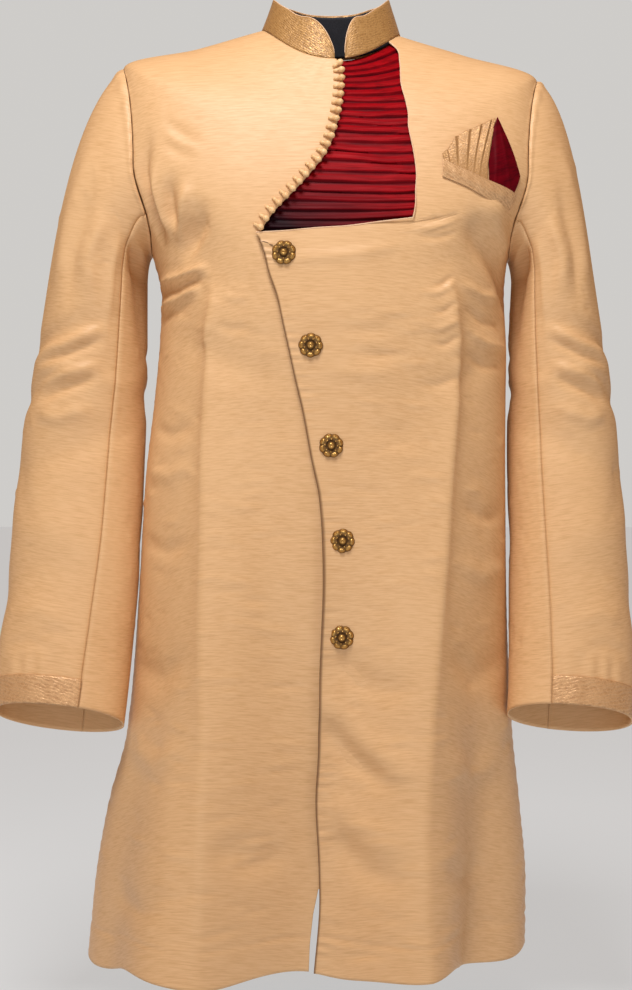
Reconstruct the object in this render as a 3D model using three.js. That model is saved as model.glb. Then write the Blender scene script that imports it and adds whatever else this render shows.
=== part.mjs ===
import * as THREE from 'three';

/** Table rows as objects, one name for each column. */
function table(columns, rows) {
  return rows.map((row) => Object.fromEntries(columns.map((name, i) => [name, row[i]])));
}

// A knee-length sherwani, filled out as if worn. Millimetres, +Z up, the front faces -Y.
// The origin is on the neck's axis at the level of the highest shoulder point.

// Cloth walls and the spaces between pieces
const WALL = 1.5;
const TRIM_WALL = 1.2;
const SEAM_GAP = 0.3;
const LAYER_GAP = 0.4;
const OVERLAP_LIFT = WALL + 1.1;
const INSET_DROP = WALL + 1.1;
const INSET_WALL = 1.2;

// Height of the two ends of the armhole along the body, and how deep it cuts into each panel
const ARMPIT_RUN = 738;
const SHOULDER_RUN = 930;
const NECK_RUN = 1084;
const FRONT_BITE = 31;
const BACK_BITE = 27;
const ARMHOLE_STEPS = 10;

// Level sections of the body from hem to neck. `run` counts up along the cloth, `half` is half the
// width, `square` is how boxy the section is, `tilt` lowers the wearer's left shoulder.
const TORSO = table(
  ['run', 'sideZ', 'frontZ', 'backZ', 'half', 'frontY', 'sideY', 'backY', 'square', 'centreX', 'tilt'],
  [
    [0, -981, -971, -945, 234, -150, 25, 195, 2.1, -25, -0.012],
    [77, -904, -898, -875, 231, -149, 24, 190, 2.1, -21, -0.008],
    [162, -817, -813, -799, 220, -147, 22, 182, 2.1, -17, 0],
    [236, -741, -738, -730, 206, -145, 20, 174, 2.15, -11, 0],
    [375, -600, -598, -598, 196, -140, 14, 150, 2.2, -8, 0],
    [502, -473, -475, -475, 191, -131, 8, 118, 2.3, -5, 0],
    [587, -388, -395, -390, 186, -127, 5, 102, 2.35, 0, 0.004],
    [651, -324, -338, -325, 183, -128, 3, 103, 2.4, 3, 0.006],
    [693, -282, -300, -284, 181, -130, 2, 108, 2.45, 3, 0.008],
    [738, -237, -262, -240, 188, -130, 2, 114, 2.5, 0, 0.011],
    [834, -140, -190, -150, 226, -122, 3, 118, 2.8, 0, 0.02],
    [930, -44, -118, -75, 219, -104, 5, 100, 2.5, 0, 0.03],
    [1010, -20.5, -74, -38, 142, -86, 4, 78, 2.3, 1, 0.025],
    [1084, 0, -42, -12, 74, -72, 2, 62, 2.1, 1, 0.04],
  ],
);

// Folds of the skirt: `centre` and `width` in degrees round the body, `depth` outward at the hem,
// `top` is the run where the fold dies out and `power` how fast it does so.
const SKIRT_FOLDS = [
  { centre: 2, width: 22, depth: -66, top: 640, power: 1.35 },
  { centre: -34, width: 15, depth: 27, top: 640, power: 1.15 },
  { centre: 29, width: 13, depth: 26, top: 560, power: 1.2 },
  { centre: 56, width: 16, depth: -42, top: 420, power: 1.3 },
  { centre: -62, width: 12, depth: -9, top: 400, power: 1.2 },
  { centre: 116, width: 15, depth: 13, top: 420, power: 1.2 },
  { centre: 143, width: 13, depth: -17, top: 460, power: 1.2 },
  { centre: 166, width: 12, depth: 15, top: 520, power: 1.2 },
  { centre: -166, width: 12, depth: -13, top: 440, power: 1.2 },
  { centre: -143, width: 14, depth: 17, top: 520, power: 1.2 },
  { centre: -117, width: 13, depth: -11, top: 400, power: 1.2 },
];

// How far the hem rises or drops, in millimetres, round some degrees; it fades out up the skirt.
const HEM_RISES = table(
  ['centre', 'width', 'rise'],
  [
    [-86, 10, 5],
    [-47, 13, 11],
    [-23, 8, -4],
    [10, 9, -7],
    [38, 8, 9],
    [86, 9, 9],
  ],
);
const HEM_RISE_TOP = 130;

// Soft hollows and swellings of the upper body: a line from one point to another with a soft width.
const BODY_CREASES = [
  { fromDeg: -36, fromRun: 800, toDeg: -50, toRun: 700, width: 15, depth: -4 },
  { fromDeg: -46, fromRun: 655, toDeg: -22, toRun: 600, width: 15, depth: -3.5 },
  { fromDeg: 40, fromRun: 690, toDeg: 50, toRun: 560, width: 14, depth: -4 },
  { fromDeg: 60, fromRun: 640, toDeg: 32, toRun: 590, width: 14, depth: -3 },
  { fromDeg: 150, fromRun: 700, toDeg: 172, toRun: 640, width: 18, depth: -4 },
  { fromDeg: -150, fromRun: 690, toDeg: -172, toRun: 620, width: 18, depth: -4 },
  { fromDeg: 128, fromRun: 800, toDeg: 150, toRun: 760, width: 18, depth: -4 },
  { fromDeg: -128, fromRun: 805, toDeg: -150, toRun: 770, width: 18, depth: -4 },
];

// Free edge of the wearer's left front: the overlap, the foot of the inset, the inset's side.
// `row` is the run of the same row at the side seam.
const LEFT_FRONT_EDGE = [
  { row: 0, deg: 1.9, run: 0 },
  { row: 62, deg: 2.4, run: 62 },
  { row: 112, deg: 1.7, run: 112 },
  { row: 195, deg: -0.2, run: 195 },
  { row: 290, deg: -0.5, run: 290 },
  { row: 390, deg: -0.1, run: 390 },
  { row: 440, deg: -0.4, run: 440 },
  { row: 484, deg: -1.2, run: 484 },
  { row: 530, deg: -3.6, run: 530 },
  { row: 575, deg: -6.2, run: 575 },
  { row: 620, deg: -9.3, run: 620 },
  { row: 660, deg: -11.7, run: 660 },
  { row: 700, deg: -13.7, run: 700 },
  { row: 738, deg: -15.0, run: 738 },
  { row: 777.6, deg: -15.2, run: 777.6 },
  { row: 784.3, deg: -7.5, run: 782 },
  { row: 791, deg: 1, run: 789.5 },
  { row: 797.6, deg: 8, run: 796.5 },
  { row: 804.3, deg: 15.3, run: 800.4 },
  { row: 834, deg: 14.7, run: 836 },
  { row: 863.7, deg: 15.4, run: 863.7 },
  { row: 890.4, deg: 15.7, run: 890.4 },
  { row: 925.3, deg: 16, run: 925.3 },
  { row: 955, deg: 18, run: 955 },
  { row: 985, deg: 21.8, run: 985 },
  { row: 1015, deg: 28, run: 1015 },
  { row: 1045, deg: 38, run: 1045 },
  { row: 1066, deg: 48, run: 1066 },
  { row: 1084, deg: 53.4, run: 1084 },
];

// Free edge of the wearer's right front: the slit, the hidden underlap, the beaded curve.
const RIGHT_FRONT_EDGE = [
  { run: 0, deg: 0.6 },
  { run: 30, deg: 0.5 },
  { run: 62, deg: 0.9 },
  { run: 88, deg: 1.9 },
  { run: 96, deg: 5.5 },
  { run: 104, deg: 10 },
  { run: 756.3, deg: -5 },
  { run: 777.6, deg: -14.3 },
  { run: 804.3, deg: -9.6 },
  { run: 834, deg: -5.1 },
  { run: 863.7, deg: -2.1 },
  { run: 890.4, deg: -0.4 },
  { run: 925.3, deg: 0.4 },
  { run: 955, deg: 1.2 },
  { run: 985, deg: 2.1 },
  { run: 1015, deg: 3.3 },
  { run: 1045, deg: 4.7 },
  { run: 1066, deg: 5.6 },
  { run: 1084, deg: 3.4 },
];
const CURVE_FOOT_RUN = 779;
const SLIT_TOP_RUN = 112;

// Rows of cloth up the side of the body
const SKIRT_ROWS = [
  0, 30, 62, 88, 96, 104, 112, 150, 195, 240, 290, 340, 390, 440, 484, 530, 575, 620, 660, 700, 738,
];
const YOKE_ROWS = [955, 985, 1015, 1045, 1066, 1084];
const INSET_FOOT_ROWS = [784.3, 791, 797.6];
const INSET_SIDE_ROW = 804.3;
const OVERLAP_DEGREES = 14;
const OVERLAP_SHARE = 0.3;
const LIFT_FADE_DEGREES = { start: 4, end: 16 };
const LIFT_FADE_RUN = { start: 812, end: 850 };
const CURVE_MARGIN_DEGREES = 6;
const SLIT_MARGIN_DEGREES = 2;
const ROW_BLEND = 0.7;
const OVERLAP_COLUMNS = 3;
const FRONT_COLUMNS = 10;
const BACK_COLUMNS = 9;

// Sections of the sleeves. X of both edges on each side, depth from front to back, and `slope`,
// how much higher the front of the section sits than its back, `Tilt` its outer edge than its inner one.
const SLEEVE = table(
  ['z', 'leftOut', 'leftIn', 'rightOut', 'rightIn', 'midY', 'halfY', 'slope', 'leftTilt', 'rightTilt'],
  [
    [-262, -299, -195, 280, 194, 6, 72, 0, 0, 0],
    [-324, -309, -195, 290, 191, 7, 68, 0.02, 0.01, 0],
    [-367, -317, -195, 298, 190, 8, 66, 0.04, 0.02, -0.01],
    [-409, -325, -196, 304, 189, 8, 64, 0.07, 0.03, -0.01],
    [-452, -329, -198, 307, 189, 5, 61, 0.11, 0.04, -0.02],
    [-537, -336, -200, 312, 189, -6, 56, 0.2, 0.06, -0.04],
    [-622, -344, -206, 318, 188, -21, 50, 0.31, 0.08, -0.06],
    [-692, -349, -212, 317, 186, -34, 46, 0.4, 0.1, -0.08],
    [-721, -349, -215, 314, 184, -40, 45, 0.42, 0.1, -0.08],
  ],
);
const SLEEVE_SQUARE = 2.15;
const SLEEVE_LEVELS = [
  -262, -294, -320, -340, -358, -376, -396, -424, -465, -510, -560, -610, -655, -692, -721,
];
const HEAD_STEPS = [0, 0.1, 0.24, 0.42, 0.62, 0.82];
const CUFF_LEVEL = -721;
const BAND_LEVEL = -692;
const HEAD_OUTWARD = { left: 0.5, right: 0.62 };
const HEAD_DOWNWARD = { left: 0.26, right: 0.5 };
const HEAD_LANDING = 0.78;

// Degrees round the sleeve from its outer edge: the two seams at the armhole and at the cuff
const FRONT_SEAM = { head: 126, cuff: 110 };
const BACK_SEAM = { head: 252, cuff: 256 };
const TOP_COLUMNS = 13;
const UNDER_COLUMNS = 7;

// Soft folds of the sleeves at the elbow and over the cuff, `deg` round the sleeve
const SLEEVE_FOLD_REACH = 62;
const SLEEVE_FOLDS = [
  { z: -330, deg: 40, slant: 22, height: 12, depth: -4.5 },
  { z: -358, deg: 60, slant: -18, height: 12, depth: 3.5 },
  { z: -384, deg: 35, slant: 20, height: 13, depth: -4.5 },
  { z: -440, deg: 100, slant: 30, height: 22, depth: -3.5 },
  { z: -530, deg: 60, slant: -30, height: 30, depth: 3 },
  { z: -600, deg: 20, slant: 24, height: 26, depth: -3.5 },
  { z: -372, deg: 215, slant: 16, height: 16, depth: -5 },
  { z: -560, deg: 240, slant: -26, height: 28, depth: -4 },
];

// Burgundy inset: its edges under the two fronts and its tucks
const INSET_LEFT_MARGIN = 3.2;
const INSET_RIGHT_MARGIN = 2.6;
const INSET_FOOT = { left: 769, right: 789 };
const INSET_TUCKS = 22;
const INSET_COLUMNS = 7;
const TUCK_HEIGHT = 1.3;
const TUCK_EDGE = 0.22;
const TUCK_SLANT = 1.22;

// Collar: rim height and its distance in from the neck seam, by degrees from the front centre
const COLLAR = [
  { deg: 0, rimZ: 1, inset: 12 },
  { deg: 30, rimZ: 6, inset: 12 },
  { deg: 50, rimZ: 18, inset: 12 },
  { deg: 90, rimZ: 36, inset: 12 },
  { deg: 130, rimZ: 36.5, inset: 12 },
  { deg: 160, rimZ: 33.5, inset: 11 },
  { deg: 180, rimZ: 33, inset: 11 },
];
const COLLAR_LEFT_END = { deg: 10, corner: 15 };
const COLLAR_RIGHT_END = { deg: 362, corner: 26 };
const COLLAR_COLUMNS = 30;
const COLLAR_ROWS = 3;
const COLLAR_CORNER_FOOT = 0.12;

// Bead loops along the curved edge
const BEAD_COUNT = 22;
const BEAD_FIRST_RUN = 1070;
const BEAD_LAST_RUN = 784;
const BEAD_SIDES = 6;
const BEAD_PROFILE = [
  { along: -3.3, radius: 0 },
  { along: -1.9, radius: 2.5 },
  { along: 0.4, radius: 3.3 },
  { along: 2.9, radius: 1.9 },
  { along: 11, radius: 1.1 },
  { along: 11.6, radius: 0 },
];
const BEAD_STEM_DIP = 0.16;

// Domed buttons on the overlap, from the top down
const BUTTONS = [
  { deg: -9.5, run: 752.9 },
  { deg: -4.8, run: 647.9 },
  { deg: 0.5, run: 538.9 },
  { deg: 4.1, run: 440 },
  { deg: 4.9, run: 342.2 },
];
const BUTTON_SIDES = 16;
const BUTTON_PETAL = 0.055;
const BUTTON_PROFILE = [
  { radius: 10.4, height: 0 },
  { radius: 12.2, height: 1.3 },
  { radius: 11.2, height: 3.1 },
  { radius: 7.6, height: 4.4 },
  { radius: 5.2, height: 3.9 },
  { radius: 3.4, height: 5.9 },
];
const BUTTON_CROWN = 6.6;
const BUTTON_LIFT = 0.9;

// Chest pocket: lower and upper edge of the welt from its front end to its back end
const WELT = [
  { across: 0, lowDeg: 22.0, lowRun: 852, highDeg: 22.7, highRun: 872.3 },
  { across: 0.28, lowDeg: 28.6, lowRun: 836.4, highDeg: 29.1, highRun: 855 },
  { across: 0.6, lowDeg: 37.5, lowRun: 815, highDeg: 37.6, highRun: 835.4 },
  { across: 1, lowDeg: 53.5, lowRun: 791.8, highDeg: 51.8, highRun: 810.5 },
];
const WELT_LIFT = 2.2;
const WELT_COLUMNS = 8;
const WELT_ROWS = 2;

// Folded pocket square: where its two parts stand along the welt and their upper edges
const SQUARE_LIFT = 0.6;
const SQUARE_TUCK_IN = 5;
const PLEAT_START = 0.2;
const PLEAT_FULL = 0.8;
const FAN = { start: 0.02, end: 0.575, columns: 12, rows: 3, pleat: 1.3 };
const FAN_EDGE = [
  { across: 0, deg: 22.9, run: 880 },
  { across: 0.17, deg: 24.6, run: 883 },
  { across: 0.34, deg: 27.6, run: 895.8 },
  { across: 0.5, deg: 30.8, run: 900.4 },
  { across: 0.75, deg: 35, run: 899 },
  { across: 1, deg: 37.4, run: 886 },
];
const POINT = { start: 0.6, end: 0.97, columns: 6, rows: 4 };
const POINT_EDGE = [
  { across: 0, deg: 38.0, run: 862 },
  { across: 0.3, deg: 41.0, run: 890 },
  { across: 0.46, deg: 44.1, run: 902.3 },
  { across: 0.62, deg: 46.0, run: 885 },
  { across: 0.8, deg: 49.6, run: 856 },
  { across: 1, deg: 52.6, run: 830.7 },
];

const SLOTS = {
  silk: new THREE.MeshStandardMaterial({ name: 'silk', color: 0xe0b684, roughness: 0.55, metalness: 0 }),
  brocade: new THREE.MeshStandardMaterial({ name: 'brocade', color: 0xb9925a, roughness: 0.5, metalness: 0 }),
  burgundy: new THREE.MeshStandardMaterial({
    name: 'burgundy', color: 0x7d0f1e, roughness: 0.6, metalness: 0,
  }),
  facing: new THREE.MeshStandardMaterial({ name: 'facing', color: 0x191a22, roughness: 0.8, metalness: 0 }),
  tissue: new THREE.MeshStandardMaterial({ name: 'tissue', color: 0xcaa772, roughness: 0.45, metalness: 0 }),
  antique_gold: new THREE.MeshStandardMaterial({
    name: 'antique_gold', color: 0x98763d, roughness: 0.4, metalness: 1,
  }),
};

const LEFT = 1;
const RIGHT = -1;

// Reach of the small steps that measure a surface's slope
const PROBE_DEGREES = 0.8;
const PROBE_RUN = 1;
const PROBE_HEAD = 0.02;
const PROBE_LEVEL = 2;

/** Smooth curve through one column of a table, never overshooting between its rows. */
function curve(rows, across, name) {
  const xs = rows.map((row) => row[across]);
  const ys = rows.map((row) => row[name]);
  const last = xs.length - 1;
  const spans = xs.slice(1).map((x, i) => x - xs[i]);
  const rises = spans.map((span, i) => (ys[i + 1] - ys[i]) / span);
  const slopes = xs.map((x, i) => {
    if (i === 0) return rises[0];
    if (i === last) return rises[last - 1];
    if (rises[i - 1] * rises[i] <= 0) return 0;
    const before = 2 * spans[i] + spans[i - 1];
    const after = spans[i] + 2 * spans[i - 1];
    return (before + after) / (before / rises[i - 1] + after / rises[i]);
  });
  return (value) => {
    const x = Math.min(Math.max(value, xs[0]), xs[last]);
    let i = 0;
    while (i < last - 1 && x > xs[i + 1]) i += 1;
    const t = (x - xs[i]) / spans[i];
    const s = 1 - t;
    const ends = ys[i] * (1 + 2 * t) * s * s + ys[i + 1] * t * t * (1 + 2 * s);
    return ends + spans[i] * (slopes[i] * t * s * s - slopes[i + 1] * t * t * s);
  };
}

/** Straight lines through one column of a table. */
function polyline(rows, across, name) {
  return (value) => {
    let i = 0;
    while (i < rows.length - 2 && value > rows[i + 1][across]) i += 1;
    const t = (value - rows[i][across]) / (rows[i + 1][across] - rows[i][across]);
    return rows[i][name] + Math.min(Math.max(t, 0), 1) * (rows[i + 1][name] - rows[i][name]);
  };
}

const { lerp, smoothstep, degToRad } = THREE.MathUtils;
const bell = (value) => Math.exp(-value * value);
const wrapDegrees = (degrees) => ((degrees + 540) % 360) - 180;
const signedPower = (value, exponent) => Math.sign(value) * Math.abs(value) ** exponent;
const steps = (count) => Array.from({ length: count + 1 }, (_, i) => i / count);

const section = Object.fromEntries(
  Object.keys(TORSO[0]).filter((name) => name !== 'run').map((name) => [name, curve(TORSO, 'run', name)]),
);
const leftFrontDeg = polyline(LEFT_FRONT_EDGE, 'row', 'deg');
const leftFrontRun = polyline(LEFT_FRONT_EDGE, 'row', 'run');
const rightFreeDeg = polyline(RIGHT_FRONT_EDGE, 'run', 'deg');

/** Free edge of the right front: an even underlap between the slit and the beaded curve. */
function rightFrontDeg(run) {
  const isUnderlap = run >= SLIT_TOP_RUN && run <= ARMPIT_RUN;
  return isUnderlap ? leftFrontDeg(run) + OVERLAP_DEGREES : rightFreeDeg(run);
}

/** How far the folds move the body's cloth outward. */
function foldDepth(degrees, run) {
  let depth = 0;
  for (const fold of SKIRT_FOLDS) {
    if (run >= fold.top) continue;
    const growth = (1 - run / fold.top) ** fold.power;
    depth += fold.depth * growth * bell(wrapDegrees(degrees - fold.centre) / fold.width);
  }
  for (const crease of BODY_CREASES) {
    const t = Math.min(Math.max((run - crease.fromRun) / (crease.toRun - crease.fromRun), -0.2), 1.2);
    const across = wrapDegrees(degrees - lerp(crease.fromDeg, crease.toDeg, t)) / crease.width;
    const along = (t - 0.5) / 0.5;
    depth += crease.depth * bell(across) * bell(along);
  }
  return depth;
}

/** How far the hem's waves lift a point. */
function hemRise(degrees, run) {
  const fade = Math.max(0, 1 - run / HEM_RISE_TOP) ** 2;
  const shape = ({ centre, width }) => bell(wrapDegrees(degrees - centre) / width);
  return HEM_RISES.reduce((sum, place) => sum + place.rise * fade * shape(place), 0);
}

/** Point of the body's surface: degrees from the front centre, run up the cloth. */
function torso(degrees, run) {
  const sine = Math.sin(degToRad(degrees));
  const cosine = Math.cos(degToRad(degrees));
  const bend = 2 / section.square(run);
  const isFront = cosine >= 0;
  const half = section.half(run);
  const sideY = section.sideY(run);
  const depth = (isFront ? section.frontY(run) : section.backY(run)) - sideY;
  const endZ = isFront ? section.frontZ(run) : section.backZ(run);
  const x = half * signedPower(sine, bend);
  const out = new THREE.Vector3(
    signedPower(sine, 2 - bend) / half,
    Math.abs(cosine) ** (2 - bend) / depth,
    0,
  ).normalize();
  return new THREE.Vector3(
    section.centreX(run) + x,
    sideY + depth * Math.abs(cosine) ** bend,
    section.sideZ(run) * sine * sine + endZ * cosine * cosine - section.tilt(run) * x + hemRise(degrees, run),
  ).addScaledVector(out, foldDepth(degrees, run));
}

/** Unit normal of the body's surface. */
function bodyNormal(degrees, run) {
  const inside = Math.min(Math.max(run, PROBE_RUN), NECK_RUN - PROBE_RUN);
  const around = torso(degrees + PROBE_DEGREES, inside).sub(torso(degrees - PROBE_DEGREES, inside));
  const upward = torso(degrees, inside + PROBE_RUN).sub(torso(degrees, inside - PROBE_RUN));
  return around.cross(upward).normalize();
}

/** Point at a height off the body's surface. */
function skin(degrees, run, lift) {
  return torso(degrees, run).addScaledVector(bodyNormal(degrees, run), lift);
}

/** Side edge of a body panel in degrees: side seam, armhole, shoulder seam. */
function sideEdge(run, bite) {
  const middle = (ARMPIT_RUN + SHOULDER_RUN) / 2;
  const reach = (run - middle) / ((SHOULDER_RUN - ARMPIT_RUN) / 2);
  return 90 - bite * Math.sqrt(Math.max(0, 1 - reach * reach));
}

/** Run of the armhole at a number of degrees round it, 0 at the shoulder point. */
function armholeRun(degrees) {
  return (ARMPIT_RUN + SHOULDER_RUN) / 2 + (SHOULDER_RUN - ARMPIT_RUN) / 2 * Math.cos(degToRad(degrees));
}

const ARMHOLE_ROWS = steps(ARMHOLE_STEPS).slice(1).map((t) => armholeRun(180 - 180 * t));
const BODY_ROWS = [...SKIRT_ROWS, ...ARMHOLE_ROWS, ...YOKE_ROWS];

/** Closed solid between an outer and an inner grid of points. */
function shell(outer, inner) {
  const rows = outer.length;
  const columns = outer[0].length;
  const points = [...outer.flat(), ...inner.flat()];
  const innerStart = rows * columns;
  const faces = [];
  const quad = (a, b, c, d) => faces.push(a, b, c, a, c, d);
  for (let i = 0; i < rows - 1; i += 1) {
    for (let j = 0; j < columns - 1; j += 1) {
      const a = i * columns + j;
      quad(a, a + 1, a + columns + 1, a + columns);
      quad(innerStart + a + columns, innerStart + a + columns + 1, innerStart + a + 1, innerStart + a);
    }
  }
  const rim = [];
  for (let j = 0; j < columns - 1; j += 1) rim.push(j);
  for (let i = 0; i < rows - 1; i += 1) rim.push(i * columns + columns - 1);
  for (let j = columns - 1; j > 0; j -= 1) rim.push((rows - 1) * columns + j);
  for (let i = rows - 1; i > 0; i -= 1) rim.push(i * columns);
  rim.forEach((a, k) => {
    const b = rim[(k + 1) % rim.length];
    quad(b, a, innerStart + a, innerStart + b);
  });
  return solid(points, faces);
}

/** Geometry from points and faces, turned so that its faces look outward. */
function solid(points, faces) {
  let volume = 0;
  for (let i = 0; i < faces.length; i += 3) {
    const [a, b, c] = [points[faces[i]], points[faces[i + 1]], points[faces[i + 2]]];
    volume += a.dot(new THREE.Vector3().crossVectors(b, c));
  }
  const turned = volume < 0 ? [...faces].reverse() : faces;
  const geometry = new THREE.BufferGeometry();
  geometry.setAttribute('position', new THREE.Float32BufferAttribute(points.flatMap((p) => p.toArray()), 3));
  geometry.setIndex(turned);
  geometry.computeVertexNormals();
  return geometry;
}

/** Draw the rim of a grid in by half a seam gap on the chosen sides. */
function drawIn(grid, gap, sides) {
  const moved = grid.map((row) => row.map((point) => point.clone()));
  const last = grid.length - 1;
  const end = grid[0].length - 1;
  const pull = (i, j, k, l) => {
    const way = grid[k][l].clone().sub(grid[i][j]).normalize();
    moved[i][j].addScaledVector(way, gap);
  };
  for (let i = 0; i <= last; i += 1) {
    if (sides.includes('start')) pull(i, 0, i, 1);
    if (sides.includes('end')) pull(i, end, i, end - 1);
  }
  for (let j = 0; j <= end; j += 1) {
    if (sides.includes('bottom')) pull(0, j, 1, j);
    if (sides.includes('top')) pull(last, j, last - 1, j);
  }
  return moved;
}

/** Cloth sheet over a surface: `place` gives the point at a row, a column and a depth into the wall. */
function sheet(rows, columns, place, { wall = WALL, gap = SEAM_GAP / 2, sides = '', settle = null } = {}) {
  const layers = [0, wall].map((depth) => {
    const grid = rows.map((row) => columns.map((column) => place(row, column, depth)));
    if (settle) settle(grid);
    return drawIn(grid, gap, sides);
  });
  return shell(layers[0], layers[1]);
}

/** Height of the left front over the right one where they overlap. */
function overlapLift(degrees, run) {
  const past = degrees - leftFrontDeg(Math.min(run, ARMPIT_RUN)) - OVERLAP_DEGREES;
  const across = 1 - smoothstep(past, LIFT_FADE_DEGREES.start, LIFT_FADE_DEGREES.end);
  const along = 1 - smoothstep(run, LIFT_FADE_RUN.start, LIFT_FADE_RUN.end);
  return OVERLAP_LIFT * across * along;
}

/** Degrees of a column of the left front: the overlap's own columns, then even ones to the side. */
function leftFrontColumn(row, column) {
  const start = leftFrontDeg(row);
  const end = sideEdge(row, FRONT_BITE);
  const lap = Math.min(OVERLAP_DEGREES, (end - start) * OVERLAP_SHARE);
  if (column <= OVERLAP_COLUMNS) return start + lap * column / OVERLAP_COLUMNS;
  return lerp(start + lap, end, (column - OVERLAP_COLUMNS) / FRONT_COLUMNS);
}

/** The wearer's left front, which lies on top. */
function leftFront() {
  const rows = [...BODY_ROWS, ...INSET_FOOT_ROWS].sort((a, b) => a - b);
  const count = OVERLAP_COLUMNS + FRONT_COLUMNS;
  const columns = steps(count).map((t) => Math.round(t * count));
  const place = (row, column, depth) => {
    const degrees = leftFrontColumn(row, column);
    const run = lerp(leftFrontRun(row), row, (column / count) ** ROW_BLEND);
    return skin(degrees, run, overlapLift(degrees, run) - depth);
  };
  const settle = (grid) => straightenArmhole(grid, rows);
  return sheet(rows, columns, place, { sides: 'end top', settle });
}

/** Keep the extra rows of the inset's foot on the straight line between their neighbours at the armhole. */
function straightenArmhole(grid, rows) {
  const end = grid[0].length - 1;
  const before = rows.indexOf(INSET_FOOT_ROWS[0]) - 1;
  const after = rows.indexOf(INSET_FOOT_ROWS.at(-1)) + 1;
  for (let i = before + 1; i < after; i += 1) {
    const t = (i - before) / (after - before);
    grid[i][end].lerpVectors(grid[before][end], grid[after][end], t);
  }
}

/** Degrees of a column of the right front: even ones from the side, then those under the overlap. */
function rightFrontColumn(row, column) {
  const free = rightFrontDeg(row);
  const isBelowCurve = row < CURVE_FOOT_RUN;
  const slitStart = Math.min(leftFrontDeg(row), free - SLIT_MARGIN_DEGREES);
  const lapStart = isBelowCurve ? slitStart : free - CURVE_MARGIN_DEGREES;
  if (column >= FRONT_COLUMNS) {
    const t = (column - FRONT_COLUMNS) / OVERLAP_COLUMNS;
    return lerp(lapStart, free, t);
  }
  return lerp(-sideEdge(row, FRONT_BITE), lapStart, column / FRONT_COLUMNS);
}

/** The wearer's right front, with the beaded curve and the underlap. */
function rightFront() {
  const count = OVERLAP_COLUMNS + FRONT_COLUMNS;
  const columns = steps(count).map((t) => Math.round(t * count));
  const place = (row, column, depth) => skin(rightFrontColumn(row, column), row, -depth);
  return sheet(BODY_ROWS, columns, place, { sides: 'start top' });
}

/** One half of the back, from the side seam to the centre seam. */
function back(side) {
  const place = (row, t, depth) => {
    const degrees = lerp(180 - sideEdge(row, BACK_BITE), 180, t);
    return skin(side * degrees, row, -depth);
  };
  return sheet(BODY_ROWS, steps(BACK_COLUMNS), place, { sides: 'start end top' });
}

/** The tucked inset between the two fronts. */
function inset() {
  const rows = [];
  for (let k = 0; k < INSET_TUCKS; k += 1) {
    rows.push({ height: k / INSET_TUCKS, raise: 0 });
    rows.push({ height: (k + TUCK_EDGE) / INSET_TUCKS, raise: TUCK_HEIGHT });
  }
  rows.push({ height: 1, raise: 0 });
  const place = (row, t, depth) => {
    const leftRun = lerp(INSET_FOOT.left, NECK_RUN, row.height);
    const rightRun = lerp(INSET_FOOT.right, NECK_RUN, row.height ** TUCK_SLANT);
    const run = lerp(leftRun, rightRun, t);
    const left = rightFrontDeg(Math.max(leftRun, CURVE_FOOT_RUN)) - INSET_LEFT_MARGIN;
    const right = leftFrontDeg(Math.max(rightRun, INSET_SIDE_ROW)) + INSET_RIGHT_MARGIN;
    const raise = depth > 0 ? 0 : row.raise - TUCK_HEIGHT;
    const sunk = depth > 0 ? TUCK_HEIGHT + depth : 0;
    return skin(lerp(left, right, t), run, -INSET_DROP + raise - sunk);
  };
  return sheet(rows, steps(INSET_COLUMNS), place, { wall: INSET_WALL, sides: 'top' });
}

const sleeveColumn = Object.fromEntries(
  Object.keys(SLEEVE[0]).filter((name) => name !== 'z').map((name) => [name, levelCurve(name)]),
);

/** Curve through one column of the sleeve's sections, by depth below the armpit. */
function levelCurve(name) {
  const rows = SLEEVE.map((row) => ({ ...row, drop: -row.z }));
  const fit = curve(rows, 'drop', name);
  return (z) => fit(-z);
}

/** Point of a sleeve below the armpit: degrees round it from the outer edge towards the front. */
function sleeveSection(side, degrees, z) {
  const sine = Math.sin(degToRad(degrees));
  const cosine = Math.cos(degToRad(degrees));
  const bend = 2 / SLEEVE_SQUARE;
  const out = side === LEFT ? sleeveColumn.rightOut(z) : sleeveColumn.leftOut(z);
  const inner = side === LEFT ? sleeveColumn.rightIn(z) : sleeveColumn.leftIn(z);
  const tilt = side === LEFT ? sleeveColumn.rightTilt(z) : sleeveColumn.leftTilt(z);
  let puff = 0;
  for (const fold of SLEEVE_FOLDS) {
    const turn = wrapDegrees(degrees - fold.deg);
    const level = (z - fold.z - fold.slant * Math.sin(degToRad(turn))) / fold.height;
    puff += fold.depth * bell(level) * bell(turn / SLEEVE_FOLD_REACH);
  }
  const halfX = Math.abs(out - inner) / 2 + puff * Math.abs(cosine);
  const halfY = sleeveColumn.halfY(z) + puff;
  const awayX = side * halfX * signedPower(cosine, bend);
  const awayY = -halfY * signedPower(sine, bend);
  return new THREE.Vector3(
    (out + inner) / 2 + awayX,
    sleeveColumn.midY(z) + awayY,
    z - sleeveColumn.slope(z) * awayY + tilt * side * awayX,
  );
}

/** Armhole edge where the sleeve is set in, a seam gap away from the body. */
function armhole(side, degrees) {
  const sine = Math.sin(degToRad(degrees));
  const bite = sine >= 0 ? FRONT_BITE : -BACK_BITE;
  const point = torso(side * (90 - bite * Math.abs(sine)), armholeRun(degrees));
  point.x += side * SEAM_GAP;
  return point;
}

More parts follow.
